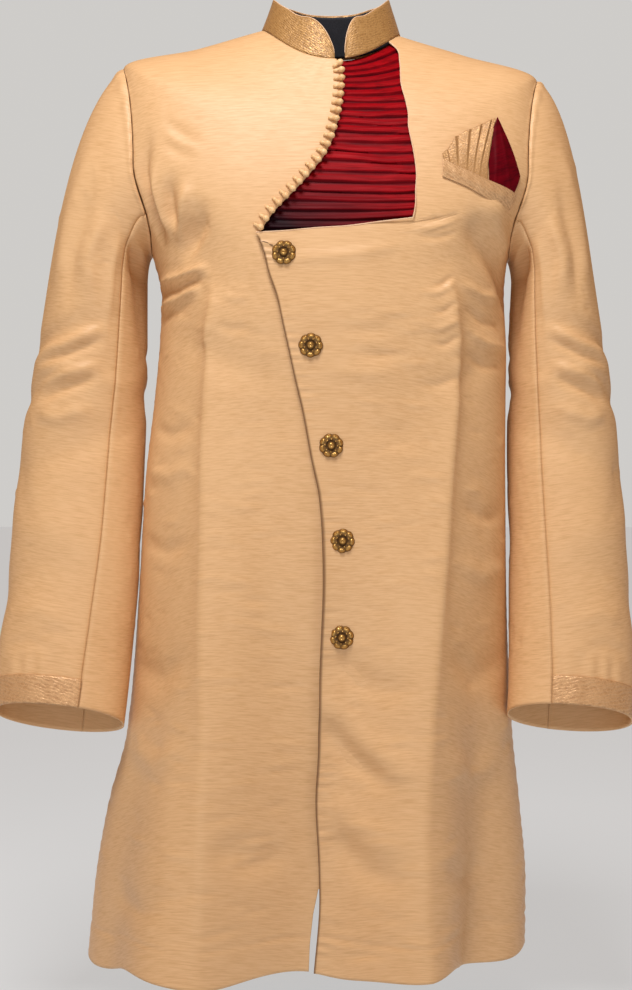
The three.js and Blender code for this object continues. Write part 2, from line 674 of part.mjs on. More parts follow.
/** Point of a sleeve: `level` above zero is the head from armhole to armpit, below it the height. */
function sleeve(side, degrees, level) {
  const top = SLEEVE_LEVELS[0];
  if (level <= top) return sleeveSection(side, degrees, level);
  const start = armhole(side, degrees);
  const end = sleeveSection(side, degrees, top);
  const path = start.distanceTo(end);
  const down = sleeveSection(side, degrees, top - 4).sub(end).normalize();
  const name = side === LEFT ? 'left' : 'right';
  const outward = HEAD_OUTWARD[name];
  const downward = HEAD_DOWNWARD[name] * (0.5 + 0.5 * Math.cos(degToRad(degrees)));
  const leave = new THREE.Vector3(side * outward, 0, -downward);
  const t = 1 - level;
  const s = 1 - t;
  return start.multiplyScalar((1 + 2 * t) * s * s)
    .addScaledVector(end, t * t * (1 + 2 * s))
    .addScaledVector(leave, path * t * s * s)
    .addScaledVector(down, -path * HEAD_LANDING * t * t * s);
}

/** Unit normal of a sleeve's surface, pointing away from the arm. */
function sleeveNormal(side, degrees, level) {
  const isHead = level > SLEEVE_LEVELS[0];
  const reach = isHead ? PROBE_HEAD : PROBE_LEVEL;
  const above = isHead ? Math.min(level + reach, 1) : Math.min(level + reach, SLEEVE_LEVELS[0]);
  const below = isHead ? Math.max(level - reach, 0) : Math.max(level - reach, CUFF_LEVEL);
  const before = sleeve(side, degrees - PROBE_LEVEL, level);
  const alongRound = sleeve(side, degrees + PROBE_LEVEL, level).sub(before);
  const alongDrop = sleeve(side, degrees, below).sub(sleeve(side, degrees, above));
  return alongRound.cross(alongDrop).normalize().multiplyScalar(side);
}

/** Degrees of a column on the top sleeve or the under sleeve at a level. */
function sleeveDegrees(isTop, t, level) {
  const fall = level > SLEEVE_LEVELS[0] ? 0 : (SLEEVE_LEVELS[0] - level) / (SLEEVE_LEVELS[0] - CUFF_LEVEL);
  const front = lerp(FRONT_SEAM.head, FRONT_SEAM.cuff, fall);
  const rear = lerp(BACK_SEAM.head, BACK_SEAM.cuff, fall);
  return isTop ? lerp(rear - 360, front, t) : lerp(front, rear, t);
}

const SLEEVE_ROWS = [...HEAD_STEPS.map((t) => 1 - t), ...SLEEVE_LEVELS];

/** One of the two pieces of a sleeve. */
function sleevePiece(side, isTop) {
  const place = (level, t, depth) => {
    const degrees = sleeveDegrees(isTop, t, level);
    return sleeve(side, degrees, level).addScaledVector(sleeveNormal(side, degrees, level), -depth);
  };
  return sheet(SLEEVE_ROWS, steps(isTop ? TOP_COLUMNS : UNDER_COLUMNS), place, { sides: 'start end' });
}

/** Brocade band on the top sleeve's cuff, made from the sleeve's own points moved out. */
function cuffBand(side) {
  const place = (level, t, depth) => {
    const degrees = sleeveDegrees(true, t, level);
    const lift = LAYER_GAP + TRIM_WALL - depth;
    return sleeve(side, degrees, level).addScaledVector(sleeveNormal(side, degrees, level), lift);
  };
  return sheet([BAND_LEVEL, CUFF_LEVEL], steps(TOP_COLUMNS), place, { wall: TRIM_WALL, sides: 'start end' });
}

const collarRim = curve(COLLAR, 'deg', 'rimZ');
const collarInset = curve(COLLAR, 'deg', 'inset');

/** How much of the collar's full height stands at a number of degrees, rounded at both front ends. */
function collarCorner(degrees) {
  const fromEnd = Math.min(
    (degrees - COLLAR_LEFT_END.deg) / COLLAR_LEFT_END.corner,
    (COLLAR_RIGHT_END.deg - degrees) / COLLAR_RIGHT_END.corner,
    1,
  );
  return Math.max(COLLAR_CORNER_FOOT, Math.sqrt(1 - (1 - fromEnd) ** 2));
}

/** Point of the collar: degrees round the neck, height from 0 at the seam to 1 at the rim. */
function collarPoint(degrees, height, depth) {
  const foot = torso(degrees, NECK_RUN);
  const turn = Math.abs(wrapDegrees(degrees));
  const centre = new THREE.Vector3(section.centreX(NECK_RUN), section.sideY(NECK_RUN), foot.z);
  const inward = centre.sub(foot).normalize();
  const rise = (collarRim(turn) - foot.z) * height * collarCorner(degrees);
  const lean = collarInset(turn) * height * collarCorner(degrees);
  foot.z += SEAM_GAP + rise;
  return foot.addScaledVector(inward, lean + depth);
}

/** Columns of the collar, closer together at its rounded front corners. */
function collarColumns() {
  const { deg: start, corner: startCorner } = COLLAR_LEFT_END;
  const { deg: end, corner: endCorner } = COLLAR_RIGHT_END;
  const corner = [0, 0.04, 0.15, 0.35, 0.65];
  const middleCount = COLLAR_COLUMNS - 2 * corner.length;
  const middle = steps(middleCount).map((t) => lerp(start + startCorner, end - endCorner, t));
  return [
    ...corner.map((t) => start + startCorner * t),
    ...middle,
    ...corner.map((t) => end - endCorner * t).reverse(),
  ];
}

/** The stand collar. */
function collar() {
  const rows = steps(COLLAR_ROWS);
  return sheet(rows, collarColumns(), (height, degrees, depth) => collarPoint(degrees, height, depth));
}

/** The dark inner side of the collar. */
function collarFacing() {
  const rows = [0.04, 0.5, 0.97];
  const place = (height, degrees, depth) => collarPoint(degrees, height, WALL + SEAM_GAP + depth);
  return sheet(rows, collarColumns(), place, { wall: TRIM_WALL });
}

/** Solid turned round an axis: `at` gives the centre, `across` two directions square to the axis. */
function turned(profile, sides, at, [first, second], scale = () => 1) {
  const points = [];
  const faces = [];
  const rings = profile.map((row) => {
    const centre = at(row);
    if (row.radius === 0) return [points.push(centre) - 1];
    return Array.from({ length: sides }, (_, k) => {
      const angle = 2 * Math.PI * k / sides;
      const radius = row.radius * scale(k);
      const point = centre.clone()
        .addScaledVector(first, radius * Math.cos(angle))
        .addScaledVector(second, radius * Math.sin(angle));
      return points.push(point) - 1;
    });
  });
  for (let i = 0; i < rings.length - 1; i += 1) {
    const [low, high] = [rings[i], rings[i + 1]];
    for (let k = 0; k < sides; k += 1) {
      const n = (k + 1) % sides;
      if (low.length > 1) faces.push(low[k], low[n], high[n % high.length]);
      if (high.length > 1) faces.push(low[k % low.length], high[n], high[k]);
    }
  }
  return solid(points, faces);
}

/** Run along the curved edge of each bead, evenly spaced along its length. */
function beadRuns() {
  const fine = steps(200).map((t) => lerp(BEAD_FIRST_RUN, BEAD_LAST_RUN, t));
  const lengths = [0];
  for (let i = 1; i < fine.length; i += 1) {
    const here = torso(rightFrontDeg(fine[i]), fine[i]);
    lengths.push(lengths[i - 1] + here.distanceTo(torso(rightFrontDeg(fine[i - 1]), fine[i - 1])));
  }
  return steps(BEAD_COUNT - 1).map((t) => {
    const target = t * lengths.at(-1);
    const i = Math.max(1, lengths.findIndex((length) => length >= target - 1e-9));
    return lerp(fine[i - 1], fine[i], (target - lengths[i - 1]) / (lengths[i] - lengths[i - 1]));
  });
}

/** One bead with its loop, lying square to the curved edge. */
function bead(run) {
  const radius = Math.max(...BEAD_PROFILE.map((row) => row.radius));
  const edge = (at) => skin(rightFrontDeg(at), at, 0);
  const up = bodyNormal(rightFrontDeg(run), run);
  const along = edge(run + 2).sub(edge(run - 2)).normalize();
  const onto = new THREE.Vector3().crossVectors(up, along).normalize();
  if (onto.x > 0) onto.negate();
  const axis = onto.clone().addScaledVector(up, -BEAD_STEM_DIP).normalize();
  const middle = skin(rightFrontDeg(run), run, radius + SEAM_GAP);
  const at = (row) => middle.clone().addScaledVector(axis, row.along);
  return turned(BEAD_PROFILE, BEAD_SIDES, at, [along, new THREE.Vector3().crossVectors(axis, along)]);
}

/** One domed button with a petalled rim. */
function button({ deg, run }) {
  const up = bodyNormal(deg, run);
  const foot = skin(deg, run, overlapLift(deg, run) + BUTTON_LIFT);
  const first = new THREE.Vector3().crossVectors(up, new THREE.Vector3(0, 0, 1)).normalize();
  const second = new THREE.Vector3().crossVectors(up, first);
  const profile = [
    { radius: 0, height: 0 },
    ...BUTTON_PROFILE,
    { radius: 0, height: BUTTON_CROWN },
  ];
  const at = (row) => foot.clone().addScaledVector(up, row.height);
  const petal = (k) => (k % 2 === 0 ? 1 + BUTTON_PETAL : 1 - BUTTON_PETAL);
  return turned(profile, BUTTON_SIDES, at, [first, second], petal);
}

const weltCurves = Object.fromEntries(
  Object.keys(WELT[0]).filter((name) => name !== 'across').map((name) => [name, curve(WELT, 'across', name)]),
);

/** Chest pocket welt, made from the left front's points moved out. */
function welt() {
  const place = (height, t, depth) => {
    const degrees = lerp(weltCurves.lowDeg(t), weltCurves.highDeg(t), height);
    const run = lerp(weltCurves.lowRun(t), weltCurves.highRun(t), height);
    const lift = SQUARE_LIFT + WELT_LIFT * smoothstep(height, 0, 0.5);
    return skin(degrees, run, lift + TRIM_WALL - depth);
  };
  return sheet(steps(WELT_ROWS), steps(WELT_COLUMNS), place, { wall: TRIM_WALL });
}

/** A part of the pocket square standing out of the welt, with an upper edge from a table. */
function squarePart({ start, end, columns, rows, pleat = 0 }, edge) {
  const topDeg = polyline(edge, 'across', 'deg');
  const topRun = polyline(edge, 'across', 'run');
  const place = (height, t, depth) => {
    const across = lerp(start, end, t);
    const footDeg = weltCurves.highDeg(across);
    const footRun = weltCurves.highRun(across) - SQUARE_TUCK_IN;
    const degrees = lerp(footDeg, topDeg(t), height);
    const run = lerp(footRun, topRun(t), height);
    const isRidge = Math.round(t * columns) % 2 === 1;
    const raise = isRidge && depth === 0 ? pleat * smoothstep(height, PLEAT_START, PLEAT_FULL) : 0;
    return skin(degrees, run, SQUARE_LIFT + TRIM_WALL - depth + raise);
  };
  return sheet(steps(rows), steps(columns), place, { wall: TRIM_WALL });
}

/** All pieces of the garment by name, with the slot each one wears. */
function pieces() {
  const list = [
    ['front_left', leftFront(), 'silk'],
    ['front_right', rightFront(), 'silk'],
    ['back_left', back(LEFT), 'silk'],
    ['back_right', back(RIGHT), 'silk'],
    ['inset', inset(), 'burgundy'],
    ['sleeve_left_top', sleevePiece(LEFT, true), 'silk'],
    ['sleeve_left_under', sleevePiece(LEFT, false), 'silk'],
    ['sleeve_right_top', sleevePiece(RIGHT, true), 'silk'],
    ['sleeve_right_under', sleevePiece(RIGHT, false), 'silk'],
    ['cuff_left', cuffBand(LEFT), 'brocade'],
    ['cuff_right', cuffBand(RIGHT), 'brocade'],
    ['collar', collar(), 'brocade'],
    ['collar_facing', collarFacing(), 'facing'],
    ['pocket_welt', welt(), 'brocade'],
    ['square_fan', squarePart(FAN, FAN_EDGE), 'tissue'],
    ['square_point', squarePart(POINT, POINT_EDGE), 'burgundy'],
  ];
  BUTTONS.forEach((row, i) => list.push([`button_${i + 1}`, button(row), 'antique_gold']));
  beadRuns().forEach((run, i) => list.push([`bead_${String(i + 1).padStart(2, '0')}`, bead(run), 'silk']));
  return list;
}

const sherwani = new THREE.Group();
sherwani.name = 'sherwani';
for (const [name, geometry, slot] of pieces()) {
  const mesh = new THREE.Mesh(geometry, SLOTS[slot]);
  mesh.name = name;
  sherwani.add(mesh);
}

export default sherwani;
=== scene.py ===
"""Looks of a knee-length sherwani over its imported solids.

Metres in the scene, millimetres in the cutting tables. +Z is up and the front faces -Y. The origin is
on the neck's axis at the level of the highest shoulder point.
"""

import logging
import math
from dataclasses import dataclass, field, replace
from enum import Enum
from typing import Callable, Sequence

import bmesh
import bpy
import numpy as np
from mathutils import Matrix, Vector


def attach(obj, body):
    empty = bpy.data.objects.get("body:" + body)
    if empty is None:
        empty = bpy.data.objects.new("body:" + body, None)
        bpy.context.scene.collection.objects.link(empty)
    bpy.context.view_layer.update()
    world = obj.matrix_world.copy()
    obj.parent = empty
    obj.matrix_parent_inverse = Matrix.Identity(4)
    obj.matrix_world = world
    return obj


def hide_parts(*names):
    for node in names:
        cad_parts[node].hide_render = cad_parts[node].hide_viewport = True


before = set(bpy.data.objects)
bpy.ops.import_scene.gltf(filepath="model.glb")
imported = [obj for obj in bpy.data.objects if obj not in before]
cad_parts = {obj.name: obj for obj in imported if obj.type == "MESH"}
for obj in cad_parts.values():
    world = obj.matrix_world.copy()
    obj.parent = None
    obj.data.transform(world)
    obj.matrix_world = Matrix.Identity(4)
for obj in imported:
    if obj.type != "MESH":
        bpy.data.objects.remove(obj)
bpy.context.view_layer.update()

LOG = logging.getLogger("sherwani")
MM = 0.001
Array = np.ndarray
Triple = tuple[float, float, float]
Colour = tuple[float, float, float]


def lerp(a: Array, b: Array, t: Array) -> Array:
    """Value between a and b at share t."""
    return a + (b - a) * t


def smoothstep(value: Array, low: float, high: float) -> Array:
    """Smooth step from 0 at low to 1 at high."""
    t = np.clip((value - low) / (high - low), 0.0, 1.0)
    return t * t * (3.0 - 2.0 * t)


def bell(value: Array) -> Array:
    """Bell curve, 1 at zero."""
    return np.exp(-value * value)


def wrap(degrees: Array) -> Array:
    """Degrees turned into the range from -180 to 180."""
    return (degrees + 540.0) % 360.0 - 180.0


def signed_power(value: Array, exponent: float) -> Array:
    """Power of a value's size that keeps its sign."""
    return np.sign(value) * np.abs(value) ** exponent


def unit(vectors: Array) -> Array:
    """Vectors of length one."""
    return vectors / np.maximum(np.linalg.norm(vectors, axis=-1, keepdims=True), 1e-12)


class Curve:
    """Smooth curve through rows of numbers that never overshoots between them."""

    def __init__(self, xs: Sequence[float], ys: Sequence[float]) -> None:
        """Fit the curve.

        Args:
            xs: rising places of the rows.
            ys: value of each row.
        """
        self.xs = np.array(xs, float)
        self.ys = np.array(ys, float)
        self.spans = np.diff(self.xs)
        rises = np.diff(self.ys) / self.spans
        before = 2.0 * self.spans[1:] + self.spans[:-1]
        after = self.spans[1:] + 2.0 * self.spans[:-1]
        steady = rises[:-1] * rises[1:] > 0
        low = np.where(steady, rises[:-1], 1.0)
        high = np.where(steady, rises[1:], 1.0)
        inner = np.where(steady, (before + after) / (before / low + after / high), 0.0)
        self.slopes = np.concatenate([rises[:1], inner, rises[-1:]])

    def __call__(self, value: Array) -> Array:
        """Value of the curve, held level past both ends.

        Args:
            value: where the curve is read.

        Returns:
            Height of the curve there.
        """
        x = np.clip(value, self.xs[0], self.xs[-1])
        i = np.clip(np.searchsorted(self.xs, x, side="left") - 1, 0, len(self.xs) - 2)
        span = self.spans[i]
        t = (x - self.xs[i]) / span
        s = 1.0 - t
        ends = self.ys[i] * (1 + 2 * t) * s * s + self.ys[i + 1] * t * t * (1 + 2 * s)
        return ends + span * (self.slopes[i] * t * s * s - self.slopes[i + 1] * t * t * s)


@dataclass(frozen=True)
class SkirtFold:
    """Fold that grows from its top run down to the hem."""

    centre: float
    width: float
    depth: float
    top: float
    power: float


@dataclass(frozen=True)
class HemRise:
    """Place where the hem hangs higher, or lower where the rise is negative."""

    centre: float
    width: float
    rise: float


@dataclass(frozen=True)
class Crease:
    """Soft trough or ridge between two places of the body, each in degrees and run."""

    start: tuple[float, float]
    end: tuple[float, float]
    width: float
    depth: float
    sharp: float = 0.0


@dataclass(frozen=True)
class SleeveFold:
    """Soft fold across a sleeve."""

    z: float
    deg: float
    slant: float
    height: float
    depth: float
    reach: float = 62.0


SEAM_GAP = 0.3
WALL = 1.5
TRIM_WALL = 1.2
OVERLAP_LIFT = WALL + 1.1
INSET_DROP = WALL + 1.1
ARMPIT_RUN = 738.0
SHOULDER_RUN = 930.0
NECK_RUN = 1084.0
FRONT_BITE = 31.0
BACK_BITE = 27.0
SLIT_TOP_RUN = 112.0
CURVE_FOOT_RUN = 779.0
OVERLAP_DEGREES = 14.0
CORNER_RUN = 777.6
INSET_FOOT_RUN = 804.3
BODY_PER_DEGREE = 3.4


@dataclass
class Body:
    """Surface of the coat's body: degrees round it from the front centre, run up the cloth."""

    sections: tuple[tuple[float, ...], ...] = (
        (0, -981, -971, -945, 234, -150, 25, 195, 2.1, -25, -0.012),
        (77, -904, -898, -875, 231, -149, 24, 190, 2.1, -21, -0.008),
        (162, -817, -813, -799, 220, -147, 22, 182, 2.1, -17, 0),
        (236, -741, -738, -730, 206, -145, 20, 174, 2.15, -11, 0),
        (375, -600, -598, -598, 196, -140, 14, 150, 2.2, -8, 0),
        (502, -473, -475, -475, 191, -131, 8, 118, 2.3, -5, 0),
        (587, -388, -395, -390, 186, -127, 5, 102, 2.35, 0, 0.004),
        (651, -324, -338, -325, 183, -128, 3, 103, 2.4, 3, 0.006),
        (693, -282, -300, -284, 181, -130, 2, 108, 2.45, 3, 0.008),
        (738, -237, -262, -240, 188, -130, 2, 114, 2.5, 0, 0.011),
        (834, -140, -190, -150, 226, -122, 3, 118, 2.8, 0, 0.02),
        (930, -44, -118, -75, 219, -104, 5, 100, 2.5, 0, 0.03),
        (1010, -20.5, -74, -38, 142, -86, 4, 78, 2.3, 1, 0.025),
        (1084, 0, -42, -12, 74, -72, 2, 62, 2.1, 1, 0.04),
    )
    columns: tuple[str, ...] = (
        "side_z", "front_z", "back_z", "half", "front_y", "side_y", "back_y", "square", "centre_x", "tilt",
    )
    skirt_folds: tuple[SkirtFold, ...] = (
        SkirtFold(2, 22, -66, 640, 1.35),
        SkirtFold(-34, 15, 27, 640, 1.15),
        SkirtFold(29, 13, 26, 560, 1.2),
        SkirtFold(56, 16, -42, 420, 1.3),
        SkirtFold(-62, 12, -9, 400, 1.2),
        SkirtFold(116, 15, 13, 420, 1.2),
        SkirtFold(143, 13, -17, 460, 1.2),
        SkirtFold(166, 12, 15, 520, 1.2),
        SkirtFold(-166, 12, -13, 440, 1.2),
        SkirtFold(-143, 14, 17, 520, 1.2),
        SkirtFold(-117, 13, -11, 400, 1.2),
    )
    hollows: tuple[Crease, ...] = (
        Crease((-36, 800), (-50, 700), 15, -4),
        Crease((-46, 655), (-22, 600), 15, -3.5),
        Crease((40, 690), (50, 560), 14, -4),
        Crease((60, 640), (32, 590), 14, -3),
        Crease((150, 700), (172, 640), 18, -4),
        Crease((-150, 690), (-172, 620), 18, -4),
        Crease((128, 800), (150, 760), 18, -4),
        Crease((-128, 805), (-150, 770), 18, -4),
    )
    hem_rises: tuple[HemRise, ...] = (
        HemRise(-86, 10, 5), HemRise(-47, 13, 11), HemRise(-23, 8, -4), HemRise(10, 9, -7), HemRise(38, 8, 9),
        HemRise(86, 9, 9),
    )
    hem_rise_top: float = 130.0
    curves: dict[str, Curve] = field(init=False)

    def __post_init__(self) -> None:
        """Fit a curve through each column of the sections."""
        runs = [row[0] for row in self.sections]
        self.curves = {
            name: Curve(runs, [row[i + 1] for row in self.sections]) for i, name in enumerate(self.columns)
        }

    def fold_depth(self, degrees: Array, run: Array) -> Array:
        """How far the folds move the cloth outward, in millimetres.

        Args:
            degrees: degrees round the body.
            run: millimetres up the cloth.

        Returns:
            Millimetres outward.
        """
        depth = np.zeros(np.broadcast(degrees, run).shape)
        for fold in self.skirt_folds:
            growth = np.clip(1.0 - run / fold.top, 0.0, None) ** fold.power
            depth = depth + fold.depth * growth * bell(wrap(degrees - fold.centre) / fold.width)
        for crease in self.hollows:
            t = np.clip((run - crease.start[1]) / (crease.end[1] - crease.start[1]), -0.2, 1.2)
            across = wrap(degrees - lerp(crease.start[0], crease.end[0], t)) / crease.width
            depth = depth + crease.depth * bell(across) * bell((t - 0.5) / 0.5)
        return depth

    def hem_rise(self, degrees: Array, run: Array) -> Array:
        """How much higher the cloth hangs near the hem, in millimetres.

        Args:
            degrees: degrees round the body.
            run: millimetres up the cloth.

        Returns:
            Millimetres upward.
        """
        fade = np.clip(1.0 - run / self.hem_rise_top, 0.0, None) ** 2
        rise = np.zeros(np.broadcast(degrees, run).shape)
        for place in self.hem_rises:
            rise = rise + place.rise * fade * bell(wrap(degrees - place.centre) / place.width)
        return rise

    def point(self, degrees: Array, run: Array) -> Array:
        """Points of the surface, in millimetres.

        Args:
            degrees: degrees round the body.
            run: millimetres up the cloth.

        Returns:
            X, Y and Z on the last axis.
        """
        at = {name: fit(run) for name, fit in self.curves.items()}
        sine = np.sin(np.radians(degrees))
        cosine = np.cos(np.radians(degrees))
        bend = 2.0 / at["square"]
        is_front = cosine >= 0
        depth = np.where(is_front, at["front_y"], at["back_y"]) - at["side_y"]
        end_z = np.where(is_front, at["front_z"], at["back_z"])
        x = at["half"] * signed_power(sine, bend)
        out = unit(np.stack([
            signed_power(sine, 2.0 - bend) / at["half"],
            np.abs(cosine) ** (2.0 - bend) / depth,
            np.zeros_like(x),
        ], axis=-1))
        base = np.stack([
            at["centre_x"] + x,
            at["side_y"] + depth * np.abs(cosine) ** bend,
            at["side_z"] * sine * sine + end_z * cosine * cosine - at["tilt"] * x
            + self.hem_rise(degrees, run),
        ], axis=-1)
        return base + out * self.fold_depth(degrees, run)[..., None]

    def normal(self, degrees: Array, run: Array) -> Array:
        """Unit normals of the surface.

        Args:
            degrees: degrees round the body.
            run: millimetres up the cloth.

        Returns:
            X, Y and Z on the last axis.
        """
        inside = np.clip(run, 1.0, NECK_RUN - 1.0)
        around = self.point(degrees + 0.8, inside) - self.point(degrees - 0.8, inside)
        upward = self.point(degrees, inside + 1.0) - self.point(degrees, inside - 1.0)
        return unit(np.cross(around, upward))

    def skin(self, degrees: Array, run: Array, lift: Array) -> Array:
        """Points at a height off the surface."""
        lift = np.broadcast_to(np.asarray(lift, float), np.broadcast(degrees, run).shape)
        return self.point(degrees, run) + self.normal(degrees, run) * lift[..., None]


@dataclass
class FrontEdges:
    """Free edges of the two fronts, in degrees by run."""

    overlap: tuple[tuple[float, float], ...] = (
        (0, 1.9), (62, 2.4), (112, 1.7), (195, -0.2), (290, -0.5), (390, -0.1), (440, -0.4), (484, -1.2),
        (530, -3.6), (575, -6.2), (620, -9.3), (660, -11.7), (700, -13.7), (738, -15.0), (777.6, -15.2),
    )
    inset_foot: tuple[Triple, ...] = (
        (777.6, -15.2, 777.6), (784.3, -7.5, 782), (791, 1, 789.5), (797.6, 8, 796.5), (804.3, 15.3, 800.4),
    )
    inset_side: tuple[tuple[float, float], ...] = (
        (804.3, 15.3), (834, 14.7), (863.7, 15.4), (890.4, 15.7), (925.3, 16), (955, 18), (985, 21.8),
        (1015, 28), (1045, 38), (1066, 48), (1084, 53.4),
    )
    slit: tuple[tuple[float, float], ...] = (
        (0, 0.6), (30, 0.5), (62, 0.9), (88, 1.9), (96, 5.5), (104, 10), (112, 15.7),
    )
    beaded: tuple[tuple[float, float], ...] = (
        (777.6, -14.3), (804.3, -9.6), (834, -5.1), (863.7, -2.1), (890.4, -0.4), (925.3, 0.4), (955, 1.2),
        (985, 2.1), (1015, 3.3), (1045, 4.7), (1066, 5.6), (1084, 3.4),
    )

    def __post_init__(self) -> None:
        """Fit the smooth stretches between the corners."""
        self.overlap_fit = Curve(*zip(*self.overlap))
        self.foot_deg = Curve([row[0] for row in self.inset_foot], [row[1] for row in self.inset_foot])
        self.foot_run = Curve([row[0] for row in self.inset_foot], [row[2] for row in self.inset_foot])
        self.side_fit = Curve(*zip(*self.inset_side))
        self.beaded_fit = Curve(*zip(*self.beaded))
        self.slit_runs, self.slit_degs = (np.array(part, float) for part in zip(*self.slit))

    def left_deg(self, row: Array) -> Array:
        """Degrees of the left front's free edge at a row.

        Args:
            row: run of the row.

        Returns:
            Degrees round the body.
        """
        low, high = self.inset_foot[0][0], self.inset_foot[-1][0]
        side = np.where(row <= high, self.foot_deg(row), self.side_fit(row))
        return np.where(row <= low, self.overlap_fit(row), side)

    def left_run(self, row: Array) -> Array:
        """Run of the left front's free edge at a row.

        Args:
            row: run of the row.

        Returns:
            Millimetres up the cloth.
        """
        low, high = self.inset_foot[0][0], self.inset_foot[-1][0]
        past = row + (self.inset_foot[-1][2] - high) * (1.0 - smoothstep(row, high, high + 30.0))
        return np.where(row <= low, row, np.where(row <= high, self.foot_run(row), past))

    def right_deg(self, run: Array) -> Array:
        """Degrees of the right front's free edge: slit, hidden underlap, beaded curve.

        Args:
            run: millimetres up the cloth.

        Returns:
            Degrees round the body.
        """
        underlap = self.left_deg(np.minimum(run, ARMPIT_RUN)) + OVERLAP_DEGREES
        lap_end = float(self.overlap_fit(ARMPIT_RUN)) + OVERLAP_DEGREES
        foot = self.beaded[0]
        closing = np.interp(run, [ARMPIT_RUN, 756.3, foot[0]], [lap_end, -5.0, foot[1]])
        low = np.interp(run, self.slit_runs, self.slit_degs)
        above = np.where(run < foot[0], closing, self.beaded_fit(run))
        return np.where(run < SLIT_TOP_RUN, low, np.where(run <= ARMPIT_RUN, underlap, above))


def side_edge(run: Array, bite: float) -> Array:
    """Side edge of a panel in degrees: side seam, armhole, shoulder seam.

    Args:
        run: millimetres up the cloth.
        bite: degrees that the armhole cuts in.

    Returns:
        Degrees from the front's or the back's centre.
    """
    middle = (ARMPIT_RUN + SHOULDER_RUN) / 2.0
    reach = (run - middle) / ((SHOULDER_RUN - ARMPIT_RUN) / 2.0)
    return 90.0 - bite * np.sqrt(np.clip(1.0 - reach * reach, 0.0, None))


def armhole_run(degrees: Array) -> Array:
    """Run of the armhole at a number of degrees round it, 0 at the shoulder point."""
    middle = (ARMPIT_RUN + SHOULDER_RUN) / 2.0
    return middle + (SHOULDER_RUN - ARMPIT_RUN) / 2.0 * np.cos(np.radians(degrees))


class Side(Enum):
    """Side of the wearer; the value is the sign of X."""

    LEFT = 1
    RIGHT = -1


